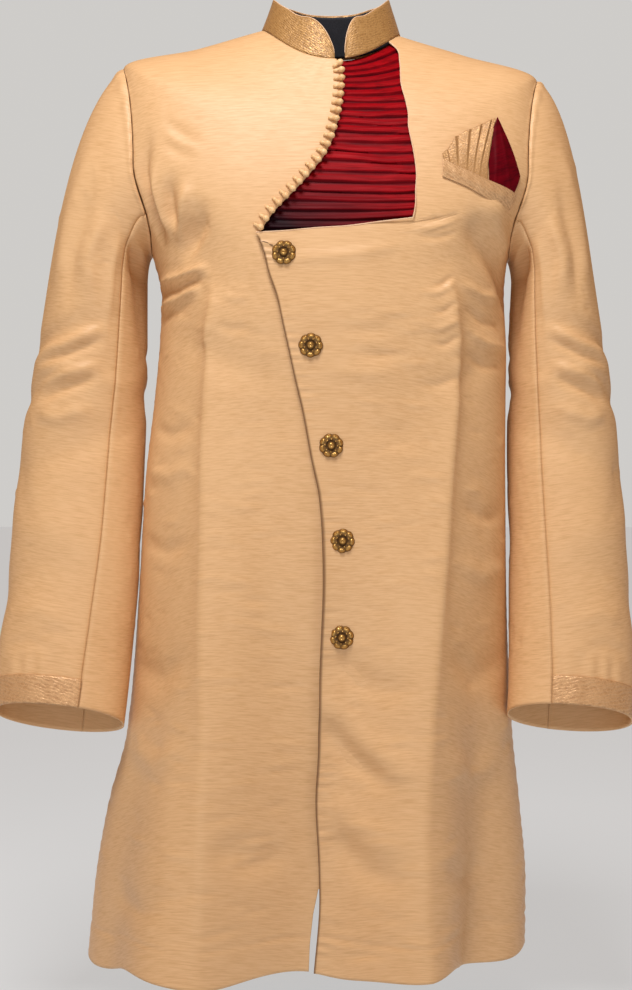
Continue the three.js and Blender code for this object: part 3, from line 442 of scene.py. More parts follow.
@dataclass
class SleeveForm:
    """Surface of one sleeve: degrees round it from its outer edge, level down the arm."""

    body: Body
    side: Side
    sections: tuple[tuple[float, ...], ...] = (
        (-262, -299, -195, 280, 194, 6, 72, 0, 0, 0),
        (-324, -309, -195, 290, 191, 7, 68, 0.02, 0.01, 0),
        (-367, -317, -195, 298, 190, 8, 66, 0.04, 0.02, -0.01),
        (-409, -325, -196, 304, 189, 8, 64, 0.07, 0.03, -0.01),
        (-452, -329, -198, 307, 189, 5, 61, 0.11, 0.04, -0.02),
        (-537, -336, -200, 312, 189, -6, 56, 0.2, 0.06, -0.04),
        (-622, -344, -206, 318, 188, -21, 50, 0.31, 0.08, -0.06),
        (-692, -349, -212, 317, 186, -34, 46, 0.4, 0.1, -0.08),
        (-721, -349, -215, 314, 184, -40, 45, 0.42, 0.1, -0.08),
    )
    square: float = 2.15
    top: float = -262.0
    cuff: float = -721.0
    head_outward: dict[Side, float] = field(default_factory=lambda: {Side.LEFT: 0.5, Side.RIGHT: 0.62})
    head_downward: dict[Side, float] = field(default_factory=lambda: {Side.LEFT: 0.26, Side.RIGHT: 0.5})
    head_landing: float = 0.78
    front_seam: tuple[float, float] = (126.0, 110.0)
    back_seam: tuple[float, float] = (252.0, 256.0)
    folds: tuple[SleeveFold, ...] = (
        SleeveFold(-330, 40, 22, 12, -4.5),
        SleeveFold(-358, 60, -18, 12, 3.5),
        SleeveFold(-384, 35, 20, 13, -4.5),
        SleeveFold(-440, 100, 30, 22, -3.5),
        SleeveFold(-530, 60, -30, 30, 3),
        SleeveFold(-600, 20, 24, 26, -3.5),
        SleeveFold(-372, 215, 16, 16, -5),
        SleeveFold(-560, 240, -26, 28, -4),
    )

    def __post_init__(self) -> None:
        """Fit a curve through each column, by depth below the armpit.

        The columns' left and right are as seen from the front.
        """
        drops = [-row[0] for row in self.sections]
        names = (
            "left_out", "left_in", "right_out", "right_in", "mid_y", "half_y", "slope", "left_tilt",
            "right_tilt",
        )
        fits = {name: Curve(drops, [row[i + 1] for row in self.sections]) for i, name in enumerate(names)}
        share = "right" if self.side is Side.LEFT else "left"
        self.fits = {
            "out": fits[f"{share}_out"], "inner": fits[f"{share}_in"], "tilt": fits[f"{share}_tilt"],
            "mid_y": fits["mid_y"], "half_y": fits["half_y"], "slope": fits["slope"],
        }

    def section(self, degrees: Array, z: Array) -> Array:
        """Points below the armpit.

        Args:
            degrees: degrees round the sleeve.
            z: Z in millimetres.

        Returns:
            X, Y and Z on the last axis.
        """
        at = {name: fit(-z) for name, fit in self.fits.items()}
        sine = np.sin(np.radians(degrees))
        cosine = np.cos(np.radians(degrees))
        bend = 2.0 / self.square
        puff = np.zeros(np.broadcast(degrees, z).shape)
        for fold in self.folds:
            turn = wrap(degrees - fold.deg)
            level = (z - fold.z - fold.slant * np.sin(np.radians(turn))) / fold.height
            puff = puff + fold.depth * bell(level) * bell(turn / fold.reach)
        half_x = np.abs(at["out"] - at["inner"]) / 2.0 + puff * np.abs(cosine)
        half_y = at["half_y"] + puff
        away_x = self.side.value * half_x * signed_power(cosine, bend)
        away_y = -half_y * signed_power(sine, bend)
        return np.stack([
            (at["out"] + at["inner"]) / 2.0 + away_x,
            at["mid_y"] + away_y,
            z - at["slope"] * away_y + at["tilt"] * self.side.value * away_x,
        ], axis=-1)

    def armhole(self, degrees: Array) -> Array:
        """Armhole edge where the sleeve is set in, a seam gap away from the body.

        Args:
            degrees: degrees round the armhole.

        Returns:
            X, Y and Z on the last axis.
        """
        sine = np.sin(np.radians(degrees))
        bite = np.where(sine >= 0, FRONT_BITE, -BACK_BITE)
        at = self.side.value * (90.0 - bite * np.abs(sine))
        return self.body.point(at, armhole_run(degrees)) + np.array([self.side.value * SEAM_GAP, 0.0, 0.0])

    def point(self, degrees: Array, level: Array) -> Array:
        """Points of the sleeve: a level above zero is on the head, 1 at the armhole and 0 at the armpit.

        Args:
            degrees: degrees round the sleeve.
            level: share of the head, or Z in millimetres below it.

        Returns:
            X, Y and Z on the last axis.
        """
        degrees, level = np.broadcast_arrays(np.asarray(degrees, float), np.asarray(level, float))
        is_head = level > self.top
        z = np.where(is_head, self.top, level)
        low = self.section(degrees, z)
        head_level = np.where(is_head, level, 0.0)
        start = self.armhole(degrees)
        end = self.section(degrees, np.full_like(z, self.top))
        path = np.linalg.norm(start - end, axis=-1)[..., None]
        down = unit(self.section(degrees, np.full_like(z, self.top - 4.0)) - end)
        downward = self.head_downward[self.side] * (0.5 + 0.5 * np.cos(np.radians(degrees)))
        outward = np.full_like(downward, self.side.value * self.head_outward[self.side])
        leave = np.stack([outward, np.zeros_like(downward), -downward], axis=-1)
        t = (1.0 - head_level)[..., None]
        s = 1.0 - t
        head = start * (1 + 2 * t) * s * s + end * t * t * (1 + 2 * s)
        head = head + leave * path * t * s * s - down * path * self.head_landing * t * t * s
        return np.where(is_head[..., None], head, low)

    def normal(self, degrees: Array, level: Array) -> Array:
        """Unit normals pointing away from the arm.

        Args:
            degrees: degrees round the sleeve.
            level: share of the head, or Z in millimetres below it.

        Returns:
            X, Y and Z on the last axis.
        """
        degrees, level = np.broadcast_arrays(np.asarray(degrees, float), np.asarray(level, float))
        is_head = level > self.top
        above = np.where(is_head, np.minimum(level + 0.02, 1.0), np.minimum(level + 2.0, self.top))
        below = np.where(is_head, np.maximum(level - 0.02, 0.0), np.maximum(level - 2.0, self.cuff))
        around = self.point(degrees + 2.0, level) - self.point(degrees - 2.0, level)
        drop = self.point(degrees, below) - self.point(degrees, above)
        return unit(np.cross(around, drop)) * self.side.value

    def degrees(self, is_top: bool, t: Array, level: Array) -> Array:
        """Degrees of a column of the top sleeve or the under sleeve.

        Args:
            is_top: whether it is the top sleeve.
            t: share of the piece's width.
            level: level of each point.

        Returns:
            Degrees round the sleeve.
        """
        fall = np.where(level > self.top, 0.0, (self.top - level) / (self.top - self.cuff))
        front = lerp(self.front_seam[0], self.front_seam[1], fall)
        rear = lerp(self.back_seam[0], self.back_seam[1], fall)
        return lerp(rear - 360.0, front, t) if is_top else lerp(front, rear, t)


@dataclass(frozen=True)
class Stroke:
    """Soft ridge or trough that follows a line on the cloth.

    Attributes:
        points: places along the line, each in degrees and millimetres up the cloth.
        width: half width in millimetres.
        depth: height in millimetres, negative for a trough.
        lean: from -1 to 1, how much wider the line's left side is than its right one.
        crest: whether the ridge is pressed sharp.
        fade: share of the length over which it rises at its start and dies out at its end.
    """

    points: tuple[tuple[float, float], ...]
    width: float
    depth: float
    lean: float = 0.0
    crest: bool = False
    fade: tuple[float, float] = (0.3, 0.3)

    def moved(self, shift: float, share: float) -> "Stroke":
        """The same stroke moved up the cloth and made shallower."""
        points = tuple((deg, run + shift) for deg, run in self.points)
        return replace(self, points=points, depth=self.depth * share)

    def relief(self, degrees: Array, run: Array, per_degree: float) -> Array:
        """Height that the stroke adds.

        Args:
            degrees: degrees round the body or sleeve.
            run: millimetres along it.
            per_degree: millimetres of cloth to a degree.

        Returns:
            Millimetres outward.
        """
        line = np.array(self.points, float) * (per_degree, 1.0)
        legs = np.diff(line, axis=0)
        lengths = np.linalg.norm(legs, axis=1)
        before = np.concatenate([[0.0], np.cumsum(lengths)])
        nearest = np.full(np.shape(run), 1e9)
        side = np.zeros_like(nearest)
        share = np.zeros_like(nearest)
        for k, leg in enumerate(legs / lengths[:, None]):
            away_x = degrees * per_degree - line[k, 0]
            away_y = run - line[k, 1]
            along = np.clip(away_x * leg[0] + away_y * leg[1], 0.0, lengths[k])
            off_x = away_x - along * leg[0]
            off_y = away_y - along * leg[1]
            distance = np.hypot(off_x, off_y)
            closer = distance < nearest
            nearest = np.where(closer, distance, nearest)
            side = np.where(closer, np.sign(leg[0] * off_y - leg[1] * off_x), side)
            share = np.where(closer, (before[k] + along) / before[-1], share)
        reach = nearest / (self.width * (1.0 + self.lean * side))
        shape = np.exp(0.14 - np.sqrt(reach * reach + 0.02)) if self.crest else bell(reach)
        rise = smoothstep(share, 0.0, self.fade[0]) if self.fade[0] > 0 else 1.0
        fall = 1.0 - smoothstep(share, 1.0 - self.fade[1], 1.0) if self.fade[1] > 0 else 1.0
        return self.depth * shape * rise * fall


def crinkles(seed: int, count: int, area: tuple[float, float, float, float], depth: float) -> list[Stroke]:
    """Small crinkles that run along the weft, as slubbed silk takes when it is handled.

    Args:
        seed: start of the even spread.
        count: number of crinkles.
        area: lowest and highest degrees, then lowest and highest run.
        depth: greatest height in millimetres.

    Returns:
        The crinkles as strokes.
    """
    deal = np.random.default_rng(seed)
    made = []
    for _ in range(count):
        deg = deal.uniform(area[0], area[1])
        run = deal.uniform(area[2], area[3])
        reach = deal.uniform(3.0, 9.0)
        drop = deal.uniform(-7.0, 7.0)
        high = depth * deal.uniform(0.35, 1.0) * deal.choice((-1.0, 1.0))
        made.append(Stroke(((deg - reach, run - drop), (deg, run), (deg + reach, run + drop * 0.6)),
                           deal.uniform(2.6, 5.0), high, fade=(0.45, 0.45)))
    return made


def relief(strokes: Sequence[Stroke], degrees: Array, run: Array, per_degree: float) -> Array:
    """Sum of what several strokes add.

    Args:
        strokes: ridges and troughs.
        degrees: degrees of each point.
        run: run of each point.
        per_degree: millimetres of cloth to a degree.

    Returns:
        Millimetres outward.
    """
    total = np.zeros(np.shape(run))
    for stroke in strokes:
        total = total + stroke.relief(degrees, run, per_degree)
    return total


def spread(stops: Sequence[float], step: float) -> Array:
    """Even steps that meet every stop.

    Args:
        stops: places in order.
        step: about how far apart the steps are.

    Returns:
        The places and the steps between them.
    """
    parts = [np.array([stops[0]], float)]
    for low, high in zip(stops[:-1], stops[1:]):
        count = max(1, round(abs(high - low) / step))
        parts.append(np.linspace(low, high, count + 1)[1:])
    return np.concatenate(parts)


def tidy_rows(rows: Array, keep: Sequence[float], nearest: float) -> Array:
    """Rows in order with the kept ones in place of any that are nearer to them than a distance."""
    far = [row for row in rows if min(abs(row - stop) for stop in keep) > nearest]
    return np.array(sorted([*far, *keep]))


@dataclass(frozen=True)
class Cut:
    """Flat size that a piece of cloth was cut to, in metres and square metres."""

    width: float
    length: float
    area: float


@dataclass
class Cloth:
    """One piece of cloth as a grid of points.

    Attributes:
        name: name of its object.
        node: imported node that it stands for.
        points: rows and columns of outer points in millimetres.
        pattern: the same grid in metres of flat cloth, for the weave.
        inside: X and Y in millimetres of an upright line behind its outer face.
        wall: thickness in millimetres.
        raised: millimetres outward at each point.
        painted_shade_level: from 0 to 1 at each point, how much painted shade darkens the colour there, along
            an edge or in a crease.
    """

    name: str
    node: str
    points: Array
    pattern: Array
    inside: tuple[float, float] = (0.0, 20.0)
    wall: float = WALL
    raised: Array | None = None
    painted_shade_level: Array | None = None

    def build(self) -> bpy.types.Object:
        """Make the object from a grid whose points are moved into place.

        Returns:
            Object with its wall, pattern and painted shade.
        """
        rows, columns = self.points.shape[:2]
        form = bmesh.new()
        bmesh.ops.create_grid(form, x_segments=columns - 1, y_segments=rows - 1, size=1.0)
        flat = np.array([vert.co[:] for vert in form.verts])
        j = np.rint((flat[:, 0] + 1.0) / 2.0 * (columns - 1)).astype(int)
        i = np.rint((flat[:, 1] + 1.0) / 2.0 * (rows - 1)).astype(int)
        self._place(form, self.points[i, j])
        middle = Vector((self.inside[0] * MM, self.inside[1] * MM, 0.0))
        outward = 0.0
        for face in form.faces:
            away = face.calc_center_median() - middle
            outward += face.normal.x * away.x + face.normal.y * away.y
        if outward < 0:
            bmesh.ops.reverse_faces(form, faces=form.faces)
            form.normal_update()
        if self.raised is not None:
            normals = np.array([vert.normal[:] for vert in form.verts])
            self._place(form, self.points[i, j] + normals * self.raised[i, j][:, None])
        mesh = bpy.data.meshes.new(self.name)
        form.to_mesh(mesh)
        form.free()
        corners = np.empty(len(mesh.loops), dtype=np.int32)
        mesh.loops.foreach_get("vertex_index", corners)
        layer = mesh.uv_layers.new(name="cloth")
        layer.data.foreach_set("uv", self.pattern[i, j][corners].ravel())
        # Painted shade: the share of painted shade at each point, which the finishes mix towards a dark
        # colour.
        if self.painted_shade_level is not None:
            layer = mesh.attributes.new("mark", "FLOAT", "POINT")
            layer.data.foreach_set("value", self.painted_shade_level[i, j].astype(np.float32))
        mesh.shade_smooth()
        piece = add(self.name, mesh)
        wall = piece.modifiers.new("wall", "SOLIDIFY")
        wall.thickness = self.wall * MM
        wall.offset = -1.0
        return piece

    @staticmethod
    def _place(form: bmesh.types.BMesh, points: Array) -> None:
        """Move the form's points to places in millimetres.

        Args:
            form: grid of the piece.
            points: a place for each of its points.
        """
        for vert, place in zip(form.verts, points * MM):
            vert.co = place
        form.normal_update()

    def measured(self) -> Cut:
        """Greatest width, mean length and area of the piece.

        Returns:
            Size of the flat cut, before its creases are raised.
        """
        across = np.linalg.norm(np.diff(self.points, axis=1), axis=-1)
        along = np.linalg.norm(np.diff(self.points, axis=0), axis=-1)
        cells = np.cross(
            self.points[1:, :-1] - self.points[:-1, :-1], self.points[:-1, 1:] - self.points[:-1, :-1],
        )
        area = float(np.linalg.norm(cells, axis=-1).sum())
        return Cut(across.sum(axis=1).max() * MM, along.sum(axis=0).mean() * MM, area * MM * MM)


def lap_lift(past: Array, run: Array) -> Array:
    """Height of the left front over the right one.

    Args:
        past: degrees past the overlap.
        run: millimetres up the cloth.

    Returns:
        Millimetres outward, dying out beside the overlap and above the inset's foot.
    """
    return OVERLAP_LIFT * (1.0 - smoothstep(past, 4.0, 16.0)) * (1.0 - smoothstep(run, 812.0, 850.0))


def weave(points: Array, across: Array, lean: float = 0.4) -> Array:
    """Flat cloth in metres for points whose weft lies level.

    Args:
        points: places in millimetres.
        across: millimetres along the weft.
        lean: share of the depth that adds to the height, so cloth that slopes isn't stretched.

    Returns:
        Two numbers for each point.
    """
    front = np.where(points[..., 1] < 0.0, 1.0, -1.0)
    return np.stack([across, points[..., 2] + lean * front * points[..., 1]], axis=-1) * MM


def add(name: str, mesh: bpy.types.Mesh) -> bpy.types.Object:
    """Add an object at the origin.

    Args:
        name: name of the object.
        mesh: mesh in metres.

    Returns:
        The object.
    """
    piece = bpy.data.objects.new(name, mesh)
    bpy.context.scene.collection.objects.link(piece)
    return piece


def dress(piece: bpy.types.Object, nodes: Sequence[str], finish: bpy.types.Material,
          cut: Cut | None = None) -> None:
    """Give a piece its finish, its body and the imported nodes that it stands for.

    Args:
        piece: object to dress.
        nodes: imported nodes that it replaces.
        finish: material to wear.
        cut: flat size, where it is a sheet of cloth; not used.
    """
    piece.data.materials.clear()
    piece.data.materials.append(finish)
    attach(piece, "root")
    if nodes:
        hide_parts(*nodes)
    LOG.info("%s: dressed as %s", piece.name, finish.name)


class Wire:
    """Output socket of a material, with arithmetic that adds Math nodes."""

    def __init__(self, bench: "Bench", socket: bpy.types.NodeSocket) -> None:
        """Wrap a socket of a bench's material."""
        self.bench = bench
        self.socket = socket

    def _math(self, operation: str, first: "Wire | float", second: "Wire | float") -> "Wire":
        """Math node of two values."""
        return self.bench.node("ShaderNodeMath", {"operation": operation}, {0: first, 1: second})

    def __add__(self, other: "Wire | float") -> "Wire":
        """Sum."""
        return self._math("ADD", self, other)

    def __sub__(self, other: "Wire | float") -> "Wire":
        """Difference."""
        return self._math("SUBTRACT", self, other)

    def __rsub__(self, other: float) -> "Wire":
        """Difference with the number first."""
        return self._math("SUBTRACT", other, self)

    def __mul__(self, other: "Wire | float") -> "Wire":
        """Product."""
        return self._math("MULTIPLY", self, other)

    def range(self, low: float, high: float, start: float = 0.0, end: float = 1.0) -> "Wire":
        """Value stretched from one range to another and held inside it."""
        limits = {1: low, 2: high, 3: start, 4: end}
        return self.bench.node("ShaderNodeMapRange", {"clamp": True}, {0: self, **limits})


def linear(red: int, green: int, blue: int) -> Colour:
    """Linear colour of a screen colour from 0 to 255."""
    parts = (red / 255, green / 255, blue / 255)
    return tuple(part / 12.92 if part <= 0.04045 else ((part + 0.055) / 1.055) ** 2.4 for part in parts)


class Bench:
    """One material and its nodes."""

    def __init__(self, name: str) -> None:
        """Start a material with a shader and an output.

        Args:
            name: name of the material.
        """
        self.material = bpy.data.materials.new(name)
        self.material.use_nodes = True
        self.tree = self.material.node_tree
        self.tree.nodes.clear()
        self.shader = self.tree.nodes.new("ShaderNodeBsdfPrincipled")
        output = self.tree.nodes.new("ShaderNodeOutputMaterial")
        self.tree.links.new(self.shader.outputs[0], output.inputs["Surface"])

    def node(self, kind: str, settings: dict, inputs: dict, output: int | str = 0) -> Wire:
        """Add a node.

        Args:
            kind: node type.
            settings: its settings.
            inputs: values or wires by socket number or name.
            output: number or name of the output to return.

        Returns:
            The output as a wire.
        """
        made = self.tree.nodes.new(kind)
        for key, value in settings.items():
            setattr(made, key, value)
        for key, value in inputs.items():
            socket = made.inputs[key]
            if isinstance(value, Wire):
                self.tree.links.new(value.socket, socket)
            elif isinstance(value, tuple) and socket.type == "RGBA" and len(value) == 3:
                socket.default_value = (*value, 1.0)
            else:
                socket.default_value = value
        return Wire(self, made.outputs[output])

    def uv(self) -> Wire:
        """The piece's own flat cloth in metres."""
        return self.node("ShaderNodeUVMap", {"uv_map": "cloth"}, {})

    def place(self) -> Wire:
        """Object coordinates in metres."""
        return self.node("ShaderNodeTexCoord", {}, {}, "Object")

    def stretch(self, vector: Wire, scale: Triple) -> Wire:
        """Vector times a scale for each axis."""
        return self.node("ShaderNodeVectorMath", {"operation": "MULTIPLY"}, {0: vector, 1: scale})

    def noise(self, vector: Wire, scale: Triple, detail: float = 2.0, rough: float = 0.5) -> Wire:
        """Noise over a stretched vector, from 0 to 1.

        Args:
            vector: place that it reads.
            scale: stretch along each axis.
            detail: how many finer layers it adds.
            rough: strength of the finer layers.

        Returns:
            The noise.
        """
        return self.node("ShaderNodeTexNoise", {}, {
            "Vector": self.stretch(vector, scale), "Scale": 1.0, "Detail": detail, "Roughness": rough,
        })

    def cells(self, vector: Wire, scale: Triple) -> Wire:
        """Distance to the middle of the nearest cell, over a stretched vector."""
        inputs = {"Vector": self.stretch(vector, scale), "Scale": 1.0}
        return self.node("ShaderNodeTexVoronoi", {}, inputs, "Distance")

    def parts(self, vector: Wire) -> tuple[Wire, Wire, Wire]:
        """X, Y and Z of a vector.

        Args:
            vector: wire to split.

        Returns:
            A wire for each.
        """
        split = self.node("ShaderNodeSeparateXYZ", {}, {0: vector})
        outs = split.socket.node.outputs
        return Wire(self, outs[0]), Wire(self, outs[1]), Wire(self, outs[2])

    def mix(self, first: Wire | Colour, second: Wire | Colour, factor: Wire | float) -> Wire:
        """Colour between two colours."""
        return self.node("ShaderNodeMix", {"data_type": "RGBA"}, {0: factor, 6: first, 7: second}, 2)

    def attribute(self, name: str) -> Wire:
        """Number that the piece carries at its points."""
        return self.node("ShaderNodeAttribute", {"attribute_name": name}, {}, "Fac")

    def bump(self, height: Wire, strength: float, distance: float) -> Wire:
        """Normal bent by a height, with the distance in metres."""
        return self.node("ShaderNodeBump", {}, {"Height": height, "Strength": strength, "Distance": distance})

    def shade(self, **sockets: "Wire | float | Colour") -> bpy.types.Material:
        """Set the shader's sockets, spaces in their names written as underscores, and give the material.

        Args:
            **sockets: value or wire of each socket.

        Returns:
            The material.
        """
        for key, value in sockets.items():
            socket = self.shader.inputs[key.replace("_", " ")]
            if isinstance(value, Wire):
                self.tree.links.new(value.socket, socket)
            elif isinstance(value, tuple):
                socket.default_value = (*value, 1.0) if socket.type == "RGBA" else value
            else:
                socket.default_value = value
        return self.material


@dataclass(frozen=True)
class SlubSilk:
    """Hand-woven raw silk: weft slubs across the piece, a fine warp and a soft sheen."""

    name: str
    light: Colour
    middle: Colour
    deep: Colour
    # Colour of the painted shadow line along the overlap's free edge.
    seam: Colour = linear(104, 66, 30)
    bump: float = 0.13

    def make(self) -> bpy.types.Material:
        """Build the material.

        Returns:
            The material.
        """
        bench = Bench(self.name)
        uv = bench.uv()
        fine = bench.noise(uv, (90.0, 1150.0, 1.0), 2.0, 0.55)
        broad = bench.noise(uv, (42.0, 520.0, 1.0), 2.0, 0.55)
        rare = bench.noise(uv, (26.0, 380.0, 1.0), 1.0, 0.5).range(0.64, 0.78)
        warp = bench.noise(uv, (1100.0, 40.0, 1.0), 1.0, 0.5)
        cloud = bench.noise(bench.place(), (7.0, 7.0, 7.0), 3.0, 0.55)
        thread = fine * 0.55 + broad * 0.45
        base = bench.mix(self.deep, self.middle, thread.range(0.34, 0.54))
        base = bench.mix(base, self.light, thread.range(0.52, 0.72) * 0.7)
        base = bench.mix(base, self.deep, rare * 0.5)
        base = bench.mix(base, self.light, cloud.range(0.45, 0.7) * 0.3)
        # Painted shadow: darker along the overlap's free edge, where the piece carries painted shade.
        base = bench.mix(base, self.seam, bench.attribute("mark") * 0.85)
        height = fine * 0.5 + broad * 0.6 + rare * 0.7 + warp * 0.15
        return bench.shade(
            Base_Color=base,
            Roughness=thread.range(0.3, 0.7, 0.54, 0.44),
            Normal=bench.bump(height, self.bump, 0.0006),
            Sheen_Weight=0.1, Sheen_Roughness=0.35, Sheen_Tint=self.light, Specular_IOR_Level=0.4,
        )


@dataclass(frozen=True)
class Brocade:
    """Zari brocade: a dense small figure of metal thread on a silk ground."""

    name: str
    ground: Colour
    thread: Colour
    shadow: Colour
    figure: float = 1.0

    def make(self) -> bpy.types.Material:
        """Build the material.

        Returns:
            The material.
        """
        bench = Bench(self.name)
        uv = bench.uv()
        u, v, _ = bench.parts(uv)
        sway = bench.noise(uv, (150.0, 150.0, 1.0), 2.0, 0.5)
        wave = v * (2300.0 / self.figure) + sway * 11.0 + u * 500.0
        stem = bench.node("ShaderNodeMath", {"operation": "SINE"}, {0: wave})
        leaf = bench.cells(uv, (330.0 / self.figure, 380.0 / self.figure, 1.0))
        fleck = bench.noise(uv, (950.0, 1500.0, 1.0), 1.0, 0.5)
        worn = bench.noise(uv, (60.0, 60.0, 1.0), 3.0, 0.6)
        figure = stem.range(-0.4, 0.8) * 0.5 + leaf.range(0.25, 0.7) * 0.5
        base = bench.mix(self.ground, self.thread, figure)
        base = bench.mix(base, self.shadow, fleck.range(0.56, 0.74) * 0.7)
        base = bench.mix(base, self.thread, worn.range(0.5, 0.72) * 0.35)
        height = figure * 0.8 + fleck * 0.5
        return bench.shade(
            Base_Color=base,
            Metallic=figure.range(0.3, 0.9, 0.05, 0.45),
            Roughness=fleck.range(0.35, 0.7, 0.36, 0.55),
            Normal=bench.bump(height, 0.6, 0.0006),
            Sheen_Weight=0.1, Sheen_Roughness=0.4,
        )


@dataclass(frozen=True)
class TuckedSilk:
    """Burgundy silk whose colour sinks to near black towards its lower outer corner."""

    name: str
    lit: Colour
    deep: Colour
    night: Colour
    shaded: bool = True

    def make(self) -> bpy.types.Material:
        """Build the material.

        Returns:
            The material.
        """
        bench = Bench(self.name)
        uv = bench.uv()
        u, v, _ = bench.parts(uv)
        weft = bench.noise(uv, (60.0, 900.0, 1.0), 2.0, 0.55)
        patch = bench.noise(uv, (45.0, 120.0, 1.0), 2.0, 0.5)
        base = bench.mix(self.deep, self.lit, (weft * 0.5 + patch * 0.5).range(0.32, 0.62))
        # Painted shade in the tucks' creases.
        base = bench.mix(base, self.night, bench.attribute("mark") * 0.9)
        if self.shaded:
            corner = (v + u * 1.1).range(0.768, 0.875, 1.0, 0.0)
            base = bench.mix(base, self.night, corner * 0.97)
        return bench.shade(
            Base_Color=base,
            Roughness=weft.range(0.3, 0.7, 0.56, 0.42),
            Normal=bench.bump(weft, 0.2, 0.0004),
            Specular_IOR_Level=0.06,
        )


@dataclass(frozen=True)
class PlainWeave:
    """Plain close cloth, such as the collar's dark inner side or a covered bead."""

    name: str
    colour: Colour
    deep: Colour
    rough: float
    per_metre: float = 900.0
    sheen: float = 0.1

    def make(self) -> bpy.types.Material:
        """Build the material.

        Returns:
            The material.
        """
        bench = Bench(self.name)
        place = bench.place()
        grain = bench.noise(place, (self.per_metre,) * 3, 2.0, 0.6)
        cloud = bench.noise(place, (60.0, 60.0, 60.0), 2.0, 0.5)
        base = bench.mix(self.deep, self.colour, (grain * 0.6 + cloud * 0.4).range(0.3, 0.62))
        return bench.shade(
            Base_Color=base,
            Roughness=grain.range(0.3, 0.7, self.rough + 0.06, self.rough - 0.06),
            Normal=bench.bump(grain, 0.35, 0.0003),
            Sheen_Weight=self.sheen, Sheen_Roughness=0.4,
        )


@dataclass(frozen=True)
class AntiqueGold:
    """Cast metal with a worn bright relief and dark tarnish in its hollows."""

    name: str
    bright: Colour
    middle: Colour
    tarnish: Colour

    def make(self) -> bpy.types.Material:
        """Build the material.

        Returns:
            The material.
        """
        bench = Bench(self.name)
        hollow = bench.attribute("hollow")
        place = bench.place()
        patch = bench.noise(place, (420.0, 420.0, 420.0), 3.0, 0.6)
        pits = bench.noise(place, (1500.0, 1500.0, 1500.0), 1.0, 0.5)
        depth = (hollow + (patch - 0.5) * 0.5).range(0.15, 1.0)
        base = bench.mix(self.middle, self.bright, (1.0 - depth).range(0.45, 1.0))
        base = bench.mix(base, self.tarnish, depth.range(0.35, 0.9))
        return bench.shade(
            Base_Color=base,
            Metallic=depth.range(0.3, 1.0, 0.75, 0.3),
            Roughness=(depth * 0.7 + pits * 0.3).range(0.1, 0.9, 0.28, 0.7),
            Normal=bench.bump(pits, 0.25, 0.0003),
        )


@dataclass
class Finishes:
    """The garment's finishes, each made once."""

    def __post_init__(self) -> None:
        """Make every material."""
        self.silk = SlubSilk(
            "dupion_silk",
            light=linear(231, 192, 145), middle=linear(224, 182, 134), deep=linear(209, 165, 115),
        ).make()
        self.brocade = Brocade(
            "collar_brocade",
            ground=linear(150, 108, 58), thread=linear(200, 156, 98), shadow=linear(94, 64, 30),
        ).make()
        self.band = Brocade(
            "cuff_brocade",
            ground=linear(190, 144, 98), thread=linear(226, 184, 136), shadow=linear(134, 92, 54), figure=1.3,
        ).make()
        self.tissue = Brocade(
            "gold_tissue",
            ground=linear(176, 132, 84), thread=linear(204, 160, 108), shadow=linear(140, 92, 48), figure=0.7,
        ).make()
        self.inset = TuckedSilk(
            "tucked_burgundy", lit=linear(158, 4, 17), deep=linear(108, 1, 10), night=linear(20, 0, 9),
        ).make()
        self.point = TuckedSilk(
            "burgundy_point",
            lit=linear(104, 4, 18), deep=linear(64, 2, 12), night=linear(18, 1, 9), shaded=False,
        ).make()
        self.facing = PlainWeave(
            "dark_facing", colour=linear(30, 32, 42), deep=linear(16, 17, 24), rough=0.8,
        ).make()
        # Pale finish of the collar's real piping, also worn by the painted highlight tube along the inset's
        # edge.
        self.piping = PlainWeave(
            "pale_piping_and_highlight",
            colour=linear(236, 200, 164), deep=linear(214, 172, 132), rough=0.5, per_metre=1200.0,
            sheen=0.15,
        ).make()
        self.bead = PlainWeave(
            "bead_silk",
            colour=linear(242, 204, 152), deep=linear(212, 162, 104), rough=0.42, per_metre=1200.0,
            sheen=0.15,
        ).make()
        self.thread = PlainWeave(
            "buttonhole_silk",
            colour=linear(124, 88, 46), deep=linear(88, 60, 30), rough=0.6, per_metre=1600.0,
        ).make()
        self.gold = AntiqueGold(
            "antique_gold",
            bright=linear(190, 150, 84), middle=linear(150, 112, 56), tarnish=linear(102, 72, 34),
        ).make()


